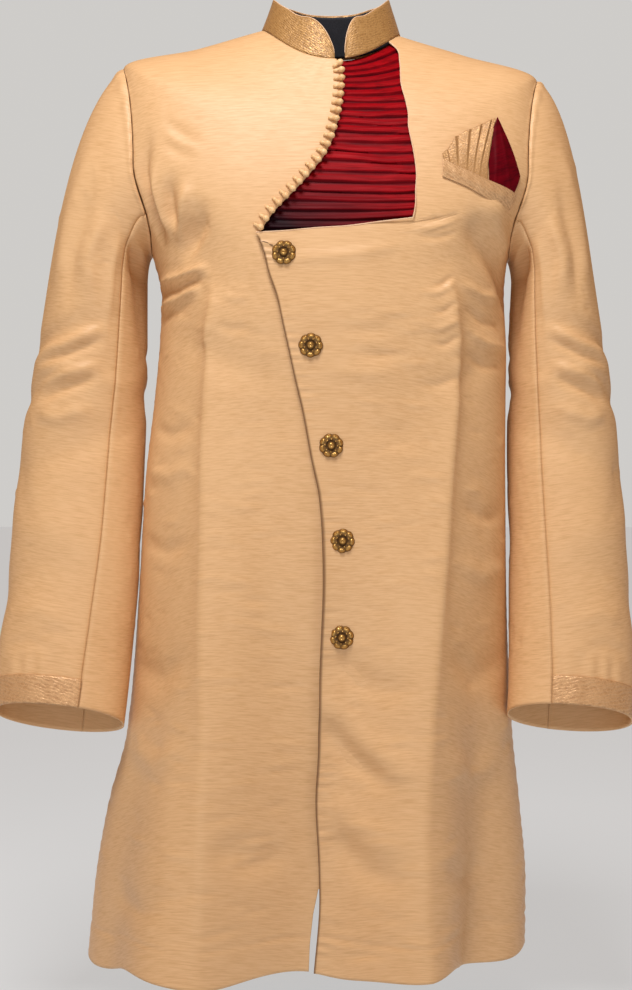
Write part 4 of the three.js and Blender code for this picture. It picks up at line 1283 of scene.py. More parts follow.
@dataclass
class Coat:
    """The four panels of the body: two fronts and two halves of the back."""

    body: Body
    edges: FrontEdges
    finishes: Finishes
    per_degree: float = BODY_PER_DEGREE
    row_step: float = 2.7
    row_gap: float = 0.9
    hem_fold: float = 38.0
    crinkle_count: int = 150
    crinkle_depth: float = 1.1
    lap_columns: float = 3.0
    panel_columns: float = 13.0
    lap_shares: tuple[float, ...] = (
        0, 0.02, 0.05, 0.1, 0.16, 0.23, 0.3, 0.37, 0.44, 0.51, 0.58, 0.65, 0.72, 0.79, 0.86, 0.93,
    )
    gape_run: float = 392.0
    gape_height: float = 3.0
    right_shift: float = 9.0
    right_depth: float = 0.85
    right_front: tuple[Stroke, ...] = (
        Stroke(((-35.5, 735), (-39.5, 650), (-37.5, 585), (-34.8, 482), (-33.5, 360), (-30, 205), (-27, 100),
                (-26.5, 0)), 18, 10.0, 0.35, crest=True, fade=(0.1, 0.0)),
        Stroke(((-36, 731), (-56, 714), (-86, 702)), 5, 6.5, 0.35, crest=True, fade=(0.15, 0.45)),
        Stroke(((-38, 718), (-58, 702), (-88, 690)), 5, -4.0, fade=(0.2, 0.4)),
        Stroke(((-42, 706), (-60, 689), (-88, 676)), 5, 5.0, 0.3, crest=True, fade=(0.15, 0.45)),
        Stroke(((-44, 692), (-62, 677), (-88, 663)), 7, -3.6, fade=(0.3, 0.4)),
        Stroke(((-25, 822), (-33, 780), (-45.5, 745), (-52, 725)), 10, -8.5, -0.3, fade=(0.5, 0.4)),
        Stroke(((-30, 834), (-40, 788), (-52, 748)), 7, 5.0, fade=(0.3, 0.3)),
        Stroke(((-35, 848), (-42, 806), (-50, 760)), 9, -7.5, fade=(0.5, 0.3)),
        Stroke(((-44, 855), (-49, 800), (-56, 748)), 6, 5.0, crest=True, fade=(0.5, 0.3)),
        Stroke(((-48, 884), (-55, 804), (-64, 742)), 10, -11.0, fade=(0.5, 0.2)),
        Stroke(((-46, 889), (-36, 883), (-27, 881)), 9, -2.2, fade=(0.5, 0.5)),
        Stroke(((-47, 867), (-37, 864), (-28, 864)), 8, -2.0, fade=(0.5, 0.5)),
        Stroke(((-45, 877), (-35, 873), (-26, 872)), 7, 1.6, fade=(0.5, 0.5)),
        Stroke(((-20, 690), (-17, 520), (-13, 340), (-10, 180)), 26, -4.0),
        Stroke(((-34, 700), (-29, 696), (-22, 700)), 5, 1.4),
        Stroke(((-36, 668), (-30, 662), (-22, 665)), 5, -1.5),
        Stroke(((-40, 560), (-56, 548), (-74, 556)), 7, -2.6),
        Stroke(((-39, 520), (-54, 506), (-76, 512)), 8, 2.6),
        Stroke(((-37, 440), (-54, 428), (-78, 440)), 9, -2.8),
        Stroke(((-34, 330), (-52, 300), (-80, 310)), 15, -4.0),
        Stroke(((-33, 240), (-50, 214), (-74, 230)), 13, 3.4),
        Stroke(((-26, 150), (-16, 120), (-4, 128)), 14, -3.6),
        Stroke(((-30, 96), (-44, 70), (-66, 84)), 14, -3.4),
    )
    left_front: tuple[Stroke, ...] = (
        Stroke(((33.8, 745), (36.8, 694), (38.5, 651), (38.5, 587), (36, 482), (34.8, 420), (32.2, 340),
                (29.8, 262), (28, 150), (28, 66), (29.5, 0)), 18, 10.0, -0.35, crest=True, fade=(0.1, 0.0)),
        Stroke(((28, 805), (48, 752), (70, 715), (86, 684)), 13, -7.5, fade=(0.3, 0.1)),
        Stroke(((34, 822), (54, 768), (78, 730)), 11, 5.0),
        Stroke(((38, 716), (52, 697), (70, 690)), 5, 3.4),
        Stroke(((40, 690), (54, 668), (76, 664)), 6, -3.6),
        Stroke(((40, 668), (56, 645), (80, 640)), 5, 3.4),
        Stroke(((41, 640), (56, 622), (78, 622)), 5, -2.8),
        Stroke(((36, 722), (32, 712), (27, 714)), 3.2, -2.6, fade=(0.1, 0.6)),
        Stroke(((36.5, 714), (30, 703), (21, 707)), 3.2, 2.0, fade=(0.1, 0.6)),
        Stroke(((37, 692), (32, 681), (26, 685)), 3.2, -2.4, fade=(0.1, 0.6)),
        Stroke(((37.5, 674), (31, 664), (22, 668)), 3.5, 1.8, fade=(0.1, 0.6)),
        Stroke(((38, 657), (33, 646), (26, 650)), 3.2, -2.2, fade=(0.1, 0.6)),
        Stroke(((39, 612), (31, 602), (20, 606)), 5, -1.4, fade=(0.1, 0.6)),
        Stroke(((16, 798), (22, 795), (28, 799)), 3.5, -1.8),
        Stroke(((14, 788), (22, 784), (30, 789)), 3.5, 1.4),
        Stroke(((18, 776), (26, 770), (34, 774)), 4, -1.4),
        Stroke(((-12, 742), (2, 752), (18, 768)), 8, 1.4),
        Stroke(((-2, 668), (8, 664), (18, 668)), 8, -1.4, fade=(0.5, 0.5)),
        Stroke(((0, 641), (10, 637), (22, 641)), 8, -2.4, fade=(0.5, 0.5)),
        Stroke(((-6, 622), (8, 616), (20, 619)), 8, 1.2, fade=(0.5, 0.5)),
        Stroke(((6, 560), (18, 550), (28, 556)), 11, -1.6, fade=(0.5, 0.5)),
        Stroke(((-4, 300), (8, 250), (22, 213), (30, 196)), 15, 5.0),
        Stroke(((-2, 272), (9, 222), (24, 188)), 13, -4.6),
        Stroke(((0, 330), (12, 296), (27, 286)), 14, -3.6),
        Stroke(((2, 190), (14, 150), (26, 132)), 15, 3.8),
        Stroke(((4, 150), (14, 112), (26, 96)), 14, -3.6),
        Stroke(((40, 480), (56, 462), (76, 470)), 9, -3.0),
        Stroke(((38, 420), (54, 404), (76, 414)), 10, 2.8),
        Stroke(((34, 330), (52, 302), (78, 316)), 15, -4.0),
        Stroke(((32, 230), (50, 200), (72, 214)), 14, 3.4),
        Stroke(((30, 120), (44, 96), (62, 104)), 14, -3.4),
    )
    back_half: tuple[Stroke, ...] = (
        Stroke(((150, 772), (153, 680), (152, 560), (148, 420), (143, 240), (140, 0)), 17, 7.0, crest=True,
               fade=(0.15, 0.0)),
        Stroke(((152, 700), (128, 690), (96, 706)), 8, 4.0, 0.3, fade=(0.2, 0.1)),
        Stroke(((152, 686), (128, 674), (96, 690)), 7, -3.6, fade=(0.2, 0.1)),
        Stroke(((154, 664), (130, 654), (100, 668)), 7, 2.6),
        Stroke(((178, 676), (166, 664), (154, 668)), 8, -2.6),
        Stroke(((178, 648), (166, 640), (155, 646)), 8, 2.0),
        Stroke(((118, 850), (126, 800), (108, 752)), 10, -4.5),
        Stroke(((128, 866), (136, 812), (120, 756)), 9, 3.5),
        Stroke(((178, 870), (160, 858), (140, 862)), 13, -2.4),
        Stroke(((176, 300), (164, 262), (150, 250)), 15, -2.8),
        Stroke(((174, 210), (162, 176), (146, 170)), 14, 2.6),
        Stroke(((140, 320), (122, 290), (100, 300)), 14, -2.8),
        Stroke(((138, 150), (120, 124), (98, 136)), 14, 2.4),
    )

    def _body_rows(self) -> Array:
        """Runs of the rows from hem to neck, close together where the armhole turns.

        Returns:
            Millimetres up the cloth.
        """
        skirt = spread((0, 62, 88, 96, 104, SLIT_TOP_RUN, ARMPIT_RUN), self.row_step)
        arm = armhole_run(180.0 - 180.0 * np.linspace(0.0, 1.0, 73)[1:-1])
        yoke = spread((SHOULDER_RUN, 1066, NECK_RUN), self.row_step)
        return np.concatenate([skirt, arm, yoke])

    def _crumple(self, degrees: Array, run: Array, strokes: Sequence[Stroke], seed: int,
                 area: tuple[float, float, float, float], away: Array) -> Array:
        """Height of a panel's folds, crinkles, hem fold and rolled seams.

        Args:
            degrees: degrees of each point.
            run: run of each point.
            strokes: folds placed one by one.
            seed: start of the crinkles.
            area: where the crinkles lie.
            away: millimetres from the panel's side seam.

        Returns:
            Millimetres outward.
        """
        small = crinkles(seed, self.crinkle_count, area, self.crinkle_depth)
        placed = relief([*strokes, *small], degrees, run, self.per_degree)
        wave = 0.16 * np.sin(run / 1.9 + 2.2 * np.sin(degrees / 5.0)) * bell((run - self.hem_fold) / 9.0)
        turn_up = -0.55 * bell((run - self.hem_fold) / 1.9) + 0.35 * (1.0 - smoothstep(run, 30.0, 37.0))
        roll = -0.45 * bell(away / 1.8) + 0.3 * bell((away - 6.0) / 3.5)
        seam_pucker = 0.35 * np.sin(run / 2.3 + 2.0 * np.sin(run / 19.0)) * bell((away - 6.0) / 5.0)
        return placed + wave + turn_up + roll + seam_pucker

    def _overlap_relief(self, from_edge: Array, run: Array) -> Array:
        """Stitched, puckered and slightly gaping edge of the overlap.

        Args:
            from_edge: millimetres from the left front's free edge.
            run: millimetres up the cloth.

        Returns:
            Millimetres outward.
        """
        short = np.sin(run / 1.25 + 1.6 * np.sin(run / 9.0))
        ripple = short + 0.7 * np.sin(run / 1.9 + 2.0 * np.sin(run / 17.0))
        swell = 0.55 + 0.45 * np.sin(run / 23.0 + 1.3 * np.sin(run / 61.0))
        pucker = 0.6 * ripple * swell * bell((from_edge - 5.0) / 9.0)
        gape = (0.9 + self.gape_height * bell((run - self.gape_run) / 60.0)) * np.exp(-from_edge / 14.0)
        stitch = -0.5 * bell((from_edge - 5.5) / 1.6)
        return pucker + gape + stitch

    def _left(self) -> Cloth:
        """The wearer's left front, which lies on top.

        Returns:
            The cloth with its folds and a painted shadow along its free edge.
        """
        rows = tidy_rows(self._body_rows(), (CORNER_RUN, INSET_FOOT_RUN), self.row_gap)
        lap = self.lap_columns * np.array(self.lap_shares)
        columns = np.concatenate([lap, np.linspace(self.lap_columns, self.panel_columns, 66)])
        row, column = np.meshgrid(rows, columns, indexing="ij")
        start = self.edges.left_deg(row)
        end = side_edge(row, FRONT_BITE)
        width = np.minimum(OVERLAP_DEGREES, (end - start) * 0.3)
        on_lap = start + width * column / self.lap_columns
        beside = (column - self.lap_columns) / (self.panel_columns - self.lap_columns)
        degrees = np.where(column <= self.lap_columns, on_lap, lerp(start + width, end, beside))
        run = lerp(self.edges.left_run(row), row, (column / self.panel_columns) ** 0.7)
        past = degrees - self.edges.left_deg(np.minimum(run, ARMPIT_RUN)) - OVERLAP_DEGREES
        points = self.body.skin(degrees, run, lap_lift(past, run))
        from_edge = (degrees - start) * self.per_degree
        below = 1.0 - smoothstep(run, 770.0, 776.0)
        away = (end - degrees) * self.per_degree
        raised = self._crumple(degrees, run, self.left_front, 11, (4, 84, 20, 720), away)
        return Cloth(
            "front_left_silk", "front_left", points, weave(points, degrees * self.per_degree),
            raised=raised + self._overlap_relief(from_edge, run) * below,
            # Painted shadow: the colour darkens within a few millimetres of the free edge, up to the inset's
            # corner.
            painted_shade_level=(1.0 - smoothstep(from_edge, 0.6, 2.6)) * below,
        )

    def _right(self) -> Cloth:
        """The wearer's right front, with the beaded curve and the underlap.

        Returns:
            The cloth with its folds.
        """
        rows = tidy_rows(self._body_rows(), (CORNER_RUN,), self.row_gap)
        columns = np.concatenate([np.linspace(0.0, 10.0, 70), 10.0 + np.linspace(0.0, 3.0, 11)[1:]])
        row, column = np.meshgrid(rows, columns, indexing="ij")
        free = self.edges.right_deg(row)
        overlap = self.edges.left_deg(row)
        under = np.minimum(overlap, free - 2.0)
        margin = 2.0 + 4.0 * smoothstep(row, CURVE_FOOT_RUN, CURVE_FOOT_RUN + 60.0)
        lap_start = np.where(row < CURVE_FOOT_RUN, under, free - margin)
        side = side_edge(row, FRONT_BITE)
        degrees = np.where(
            column >= 10.0,
            lerp(lap_start, free, (column - 10.0) / 3.0),
            lerp(-side, lap_start, column / 10.0),
        )
        away = (degrees + side) * self.per_degree
        raised = self._crumple(degrees, row, self.right_front, 23, (-84, -8, 20, 720), away)
        hidden = smoothstep(degrees - overlap, -3.0, 1.0) * (1.0 - smoothstep(row, 770.0, 800.0))
        hidden = hidden * smoothstep(row, SLIT_TOP_RUN - 10.0, SLIT_TOP_RUN + 20.0)
        by_lap = (degrees - overlap) * self.per_degree + 1.0
        lap_dip = -2.2 * bell(by_lap / 3.2) * (1.0 - smoothstep(row, 768.0, 777.0))
        lap_dip = lap_dip * smoothstep(row, 90.0, 120.0)
        curved = -0.9 * bell((free - degrees) * self.per_degree / 2.5) * smoothstep(row, 776.0, 790.0)
        points = self.body.skin(degrees, row, 0.0)
        return Cloth(
            "front_right_silk", "front_right", points, weave(points, degrees * self.per_degree),
            raised=raised * (1.0 - hidden) + curved + lap_dip,
        )

    def _back(self, side: Side) -> Cloth:
        """One half of the back, from the side seam to the centre seam.

        Args:
            side: side of the wearer.

        Returns:
            The cloth with its folds.
        """
        row, t = np.meshgrid(self._body_rows(), np.linspace(0.0, 1.0, 66), indexing="ij")
        start = 180.0 - side_edge(row, BACK_BITE)
        turn = lerp(start, 180.0, t)
        shift, share = (0.0, 1.0) if side is Side.LEFT else (self.right_shift, self.right_depth)
        strokes = [fold.moved(shift, share) for fold in self.back_half]
        away = np.minimum(turn - start, 180.0 - turn) * self.per_degree
        seed = 37 if side is Side.LEFT else 41
        raised = self._crumple(turn, row, strokes, seed, (98, 176, 20, 900), away)
        node = f"back_{side.name.lower()}"
        points = self.body.skin(side.value * turn, row, 0.0)
        pattern = weave(points, side.value * turn * self.per_degree)
        return Cloth(f"{node}_silk", node, points, pattern, raised=raised)

    def build(self) -> None:
        """Make and dress the four panels."""
        for cloth in (self._left(), self._right(), self._back(Side.LEFT), self._back(Side.RIGHT)):
            dress(cloth.build(), [cloth.node], self.finishes.silk, cloth.measured())


@dataclass
class Sleeve:
    """A two-piece sleeve with a brocade band on its top sleeve."""

    form: SleeveForm
    finishes: Finishes
    per_degree: float = 1.08
    head_length: float = 205.0
    band_foot: float = -692.0
    crinkle_count: int = 80
    crinkle_depth: float = 0.9
    axis_x: float = 245.0
    strokes: tuple[Stroke, ...] = (
        Stroke(((116, -150), (114, -215), (112, -290), (108, -350)), 7, 4.0, crest=True, fade=(0.3, 0.4)),
        Stroke(((140, -140), (152, -215), (162, -300), (166, -380)), 17, -12.0, fade=(0.2, 0.7)),
        Stroke(((112, -312), (70, -334), (20, -344)), 6, 4.0, 0.3),
        Stroke(((114, -326), (72, -346), (26, -356)), 5, -3.6),
        Stroke(((112, -352), (74, -366), (34, -384)), 6, 3.4, 0.3),
        Stroke(((110, -366), (76, -382), (40, -398)), 6, -3.6),
        Stroke(((104, -402), (72, -414), (44, -408)), 8, 3.0),
        Stroke(((20, -320), (-24, -334), (-70, -322)), 8, -2.2),
        Stroke(((10, -352), (-30, -366), (-76, -352)), 8, 2.0),
        Stroke(((96, -150), (86, -230), (92, -300)), 9, 3.6),
        Stroke(((74, -140), (66, -230), (72, -310)), 10, -3.6),
        Stroke(((52, -110), (46, -200), (52, -290)), 12, 2.6),
        Stroke(((100, -640), (70, -622), (40, -632)), 9, 1.6),
        Stroke(((90, -668), (64, -656), (34, -664)), 7, -1.4),
        Stroke(((60, -540), (36, -500), (20, -440)), 14, -1.8),
        Stroke(((240, -330), (206, -346), (168, -338)), 7, -2.2),
        Stroke(((244, -362), (208, -372), (170, -366)), 7, 2.0),
        Stroke(((246, -394), (210, -400), (174, -396)), 7, -1.8),
    )

    def _cloth_level(self, level: Array) -> Array:
        """Millimetres along the sleeve, negative downward, for a level on the head or below it."""
        return np.where(level > self.form.top, self.form.top + level * self.head_length, level)

    def _piece(self, is_top: bool) -> Cloth:
        """One of the two pieces of the sleeve.

        Args:
            is_top: whether it is the top sleeve.

        Returns:
            The cloth with its folds.
        """
        side, top = self.form.side, self.form.top
        head = 1.0 - np.concatenate([np.array([0, 0.006, 0.014, 0.024]), np.linspace(0.036, 0.985, 52)])
        levels = np.concatenate([head, spread((top, self.form.cuff), 3.2)])
        level, t = np.meshgrid(levels, np.linspace(0.0, 1.0, 92 if is_top else 56), indexing="ij")
        degrees = self.form.degrees(is_top, t, level)
        node = f"sleeve_{side.name.lower()}_{'top' if is_top else 'under'}"
        points = self.form.point(degrees, level)
        away_x = np.abs(points[..., 0])
        at_top = np.abs(self.form.point(degrees, np.full_like(degrees, top))[..., 0])
        level_weft = points[..., 2] - 0.14 * away_x - np.where(level > top, 0.3 * (away_x - at_top), 0.0)
        pattern = np.stack([degrees * self.per_degree, level_weft], axis=-1) * MM
        raised = self._relief(is_top, degrees, level, t)
        return Cloth(f"{node}_silk", node, points, pattern, inside=self._axis(), raised=raised)

    def _relief(self, is_top: bool, degrees: Array, level: Array, t: Array) -> Array:
        """Folds, seams and gathers of a piece.

        Args:
            is_top: whether it is the top sleeve.
            degrees: degrees of each point.
            level: level of each point.
            t: share of the piece's width at each point.

        Returns:
            Millimetres outward.
        """
        run = self._cloth_level(level)
        seed = (53 if self.form.side is Side.LEFT else 59) + is_top
        area = (-100, 108, -690, -120) if is_top else (128, 246, -700, -280)
        turned = np.where(degrees > 260.0, degrees - 360.0, degrees)
        small = crinkles(seed, self.crinkle_count, area, self.crinkle_depth)
        raised = relief([*self.strokes, *small], turned, run, self.per_degree)
        width = degrees[:, -1:] - degrees[:, :1]
        away = np.minimum(t, 1.0 - t) * width * self.per_degree
        raised = raised - 0.5 * bell(away / 1.8) + 0.35 * bell((away - 5.0) / 3.0)
        from_head = (self.form.top + self.head_length) - run
        raised = raised - 0.4 * bell(from_head / 2.0) + 1.3 * bell((from_head - 8.0) / 6.0)
        if is_top:
            gather = np.sin(degrees * self.per_degree / 2.1 + 2.0 * np.sin(degrees / 13.0))
            raised = raised + 0.7 * gather * bell((from_head - 8.0) / 9.0)
            pull = np.sin(degrees / 3.1 + 1.7 * np.sin(degrees / 11.0))
            by_band = bell((run - self.band_foot - 9.0) / 13.0)
            raised = raised + 0.9 * pull * by_band * smoothstep(degrees, 10.0, 60.0)
        return raised * (1.0 - 0.9 * bell((run - self.form.cuff) / 6.0))

    def _axis(self) -> tuple[float, float]:
        """X and Y of an upright line inside the sleeve."""
        return (self.form.side.value * self.axis_x, 0.0)

    def _band(self) -> Cloth:
        """The brocade band on the top sleeve's cuff.

        Returns:
            The cloth.
        """
        levels = spread((self.band_foot, self.form.cuff), 1.8)
        level, t = np.meshgrid(levels, np.linspace(0.0, 1.0, 130), indexing="ij")
        degrees = self.form.degrees(True, t, level)
        normal = self.form.normal(degrees, level)
        points = self.form.point(degrees, level) + normal * (0.4 + TRIM_WALL)
        edge = np.minimum(level - self.form.cuff, self.band_foot - level)
        raised = 0.35 * np.sin(degrees / 4.3 + 2.0 * np.sin(degrees / 15.0)) * smoothstep(edge, 0.0, 9.0)
        node = f"cuff_{self.form.side.name.lower()}"
        pattern = np.stack([degrees * self.per_degree, level], axis=-1) * MM
        return Cloth(
            f"{node}_brocade", node, points, pattern, inside=self._axis(), wall=TRIM_WALL,
            raised=raised - 0.35 * bell(edge / 1.6),
        )

    def build(self) -> None:
        """Make and dress the pieces."""
        for cloth in (self._piece(True), self._piece(False)):
            dress(cloth.build(), [cloth.node], self.finishes.silk, cloth.measured())
        band = self._band()
        dress(band.build(), [band.node], self.finishes.band, band.measured())


@dataclass
class Inset:
    """Burgundy silk in fine tucks between the two fronts."""

    body: Body
    edges: FrontEdges
    finishes: Finishes
    tucks: int = 22
    foot: tuple[float, float] = (769.0, 789.0)
    margins: tuple[float, float] = (3.2, 2.6)
    slant: float = 1.22
    tuck_height: float = 2.4
    tuck_edge: float = 0.14
    rows_in_tuck: int = 11
    # Radius and sink of the pale tube that paints a highlight along the left front's edge.
    tube_radius: float = 0.7
    highlight_sink: float = 0.3

    def _tucked(self) -> Cloth:
        """The silk with its tucks as real folds.

        Returns:
            The cloth with painted shade in its creases.
        """
        rows = np.linspace(0.0, 1.0, self.tucks * self.rows_in_tuck + 1)
        height, t = np.meshgrid(rows, np.linspace(0.0, 1.0, 64), indexing="ij")
        left_run = lerp(self.foot[0], NECK_RUN, height)
        right_run = lerp(self.foot[1], NECK_RUN, height ** self.slant)
        left = self.edges.right_deg(np.maximum(left_run, CURVE_FOOT_RUN)) - self.margins[0]
        right = self.edges.left_deg(np.maximum(right_run, INSET_FOOT_RUN)) + self.margins[1]
        count = height * self.tucks
        which = np.floor(np.clip(count, 0.0, self.tucks - 1e-6))
        wobble = 1.0 * np.sin(t * 5.0 + which * 1.7) + 0.6 * np.sin(t * 12.0 + which * 2.9)
        run = lerp(left_run, right_run, t) + wobble * np.sin(np.pi * np.clip(height * 1.2, 0.0, 1.0))
        within = count - which
        rise = smoothstep(within, 0.0, self.tuck_edge)
        sink = 1.0 - (np.clip(within - self.tuck_edge, 0.0, None) / (1.0 - self.tuck_edge)) ** 0.8
        tall = 1.0 + 0.3 * np.sin(which * 2.3 + t * 4.0)
        second = 0.45 * bell((within - 0.52 - 0.06 * np.sin(t * 6.0 + which)) / 0.07)
        lift = -INSET_DROP - self.tuck_height + self.tuck_height * tall * rise * sink + second
        degrees = lerp(left, right, t)
        points = self.body.skin(degrees, run, lift)
        pattern = np.stack([degrees * BODY_PER_DEGREE, run], axis=-1) * MM
        # Painted shade: darker at the foot and the top of each tuck, where its creases lie.
        crease = np.maximum(bell(within / 0.09), bell((1.0 - within) / 0.16))
        crease = crease * (0.75 + 0.25 * np.sin(which * 3.1))
        return Cloth("inset_burgundy", "inset", points, pattern, wall=TRIM_WALL, painted_shade_level=crease)

    def _edge_highlight(self) -> bpy.types.Object:
        """A narrow pale tube on the left front's edge round the inset: a painted highlight where that edge
        catches the light.

        Returns:
            A round tube along the edge.
        """
        foot = np.linspace(CORNER_RUN, INSET_FOOT_RUN, 24)
        row = np.concatenate([foot, np.linspace(806.0, NECK_RUN - 2.0, 90)])
        lift = lap_lift(0.0, row) - self.highlight_sink
        line = self.body.skin(self.edges.left_deg(row) - 0.1, self.edges.left_run(row), lift)
        return tube("inset_edge_highlight", line, self.tube_radius)

    def build(self) -> None:
        """Make and dress the inset and the pale tube of painted highlight along its edge."""
        cloth = self._tucked()
        dress(cloth.build(), [cloth.node], self.finishes.inset, cloth.measured())
        # Painted highlight: a pale tube along the inset's edge, in the collar piping's finish.
        dress(self._edge_highlight(), [], self.finishes.piping)


@dataclass
class Collar:
    """Stand collar of brocade with its dark inner side and a pale piped edge."""

    body: Body
    finishes: Finishes
    rim: tuple[Triple, ...] = (
        (0, 1, 12), (30, 6, 12), (50, 18, 12), (90, 36, 12), (130, 36.5, 12), (160, 33.5, 11), (180, 33, 11),
    )
    left_end: tuple[float, float] = (10.0, 15.0)
    right_end: tuple[float, float] = (362.0, 26.0)
    corner_foot: float = 0.12
    tube_radius: float = 0.55

    def __post_init__(self) -> None:
        """Fit the rim's curves."""
        turns = [row[0] for row in self.rim]
        self.rim_z = Curve(turns, [row[1] for row in self.rim])
        self.lean = Curve(turns, [row[2] for row in self.rim])

    def _stand(self, degrees: Array) -> Array:
        """Share of the full height at a number of degrees, rounded at both front ends.

        Args:
            degrees: degrees round the neck.

        Returns:
            Share from 0 to 1.
        """
        from_left = (degrees - self.left_end[0]) / self.left_end[1]
        from_right = (self.right_end[0] - degrees) / self.right_end[1]
        near = np.minimum(np.minimum(from_left, from_right), 1.0)
        return np.maximum(self.corner_foot, np.sqrt(np.clip(1.0 - (1.0 - near) ** 2, 0.0, None)))

    def point(self, degrees: Array, height: Array, depth: float) -> Array:
        """Points of the collar, from 0 at the seam to 1 at the rim.

        Args:
            degrees: degrees round the neck.
            height: share from the seam to the rim.
            depth: millimetres inward.

        Returns:
            X, Y and Z on the last axis.
        """
        foot = self.body.point(degrees, np.full(np.shape(degrees), NECK_RUN))
        turn = np.abs(wrap(degrees))
        centre = np.stack([
            np.full(np.shape(degrees), float(self.body.curves["centre_x"](NECK_RUN))),
            np.full(np.shape(degrees), float(self.body.curves["side_y"](NECK_RUN))),
            foot[..., 2],
        ], axis=-1)
        inward = unit(centre - foot)
        stand = self._stand(degrees)
        rise = (self.rim_z(turn) - foot[..., 2]) * height * stand
        inset = self.lean(turn) * height * stand
        up = np.stack([np.zeros_like(rise), np.zeros_like(rise), SEAM_GAP + rise], axis=-1)
        return foot + up + inward * (inset + depth)[..., None]

    def _degrees(self) -> Array:
        """Columns, closer together at the rounded corners.

        Returns:
            Degrees round the neck.
        """
        ease = 1.0 - np.cos(np.linspace(0.0, math.pi / 2, 22))
        start = self.left_end[0] + self.left_end[1] * ease
        end = self.right_end[0] - self.right_end[1] * ease[::-1]
        return np.concatenate([start[:-1], np.linspace(start[-1], end[0], 150), end[1:]])

    def _wall(self, name: str, node: str, low: float, high: float, depth: float, wall: float) -> Cloth:
        """One of the collar's two layers.

        Args:
            name: name of its object.
            node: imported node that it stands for.
            low: share of the height where it starts.
            high: share where it ends.
            depth: millimetres inward.
            wall: thickness in millimetres.

        Returns:
            The cloth.
        """
        height, degrees = np.meshgrid(np.linspace(low, high, 16), self._degrees(), indexing="ij")
        points = self.point(degrees, height, depth)
        raised = 0.5 * np.sin(degrees / 9.0) * np.sin(math.pi * height) if depth == 0.0 else None
        pattern = np.stack([degrees * 1.2, height * 40.0], axis=-1) * MM
        return Cloth(name, node, points, pattern, inside=(1.0, 2.0), wall=wall, raised=raised)

    def build(self) -> None:
        """Make and dress the collar."""
        outer = self._wall("collar_brocade_stand", "collar", 0.0, 1.0, 0.0, WALL)
        dress(outer.build(), ["collar"], self.finishes.brocade, outer.measured())
        inner = self._wall("collar_dark_facing", "collar_facing", 0.04, 0.97, WALL + SEAM_GAP, TRIM_WALL)
        dress(inner.build(), ["collar_facing"], self.finishes.facing, inner.measured())
        degrees = self._degrees()
        edge = self.point(degrees, np.full(degrees.shape, 1.0), 0.6)
        edge[:, 2] += 0.3
        dress(tube("collar_piping", edge, self.tube_radius), [], self.finishes.piping)


def tube(name: str, line: Array, radius: float) -> bpy.types.Object:
    """Round trim along a line.

    Args:
        name: name of the object.
        line: points in millimetres.
        radius: radius in millimetres.

    Returns:
        A curve with a round section.
    """
    curve = bpy.data.curves.new(name, "CURVE")
    curve.dimensions = "3D"
    spline = curve.splines.new("POLY")
    spline.points.add(len(line) - 1)
    for point, place in zip(spline.points, line * MM):
        point.co = (*place, 1.0)
    curve.bevel_depth = radius * MM
    curve.bevel_resolution = 2
    curve.use_fill_caps = True
    piece = bpy.data.objects.new(name, curve)
    bpy.context.scene.collection.objects.link(piece)
    return piece


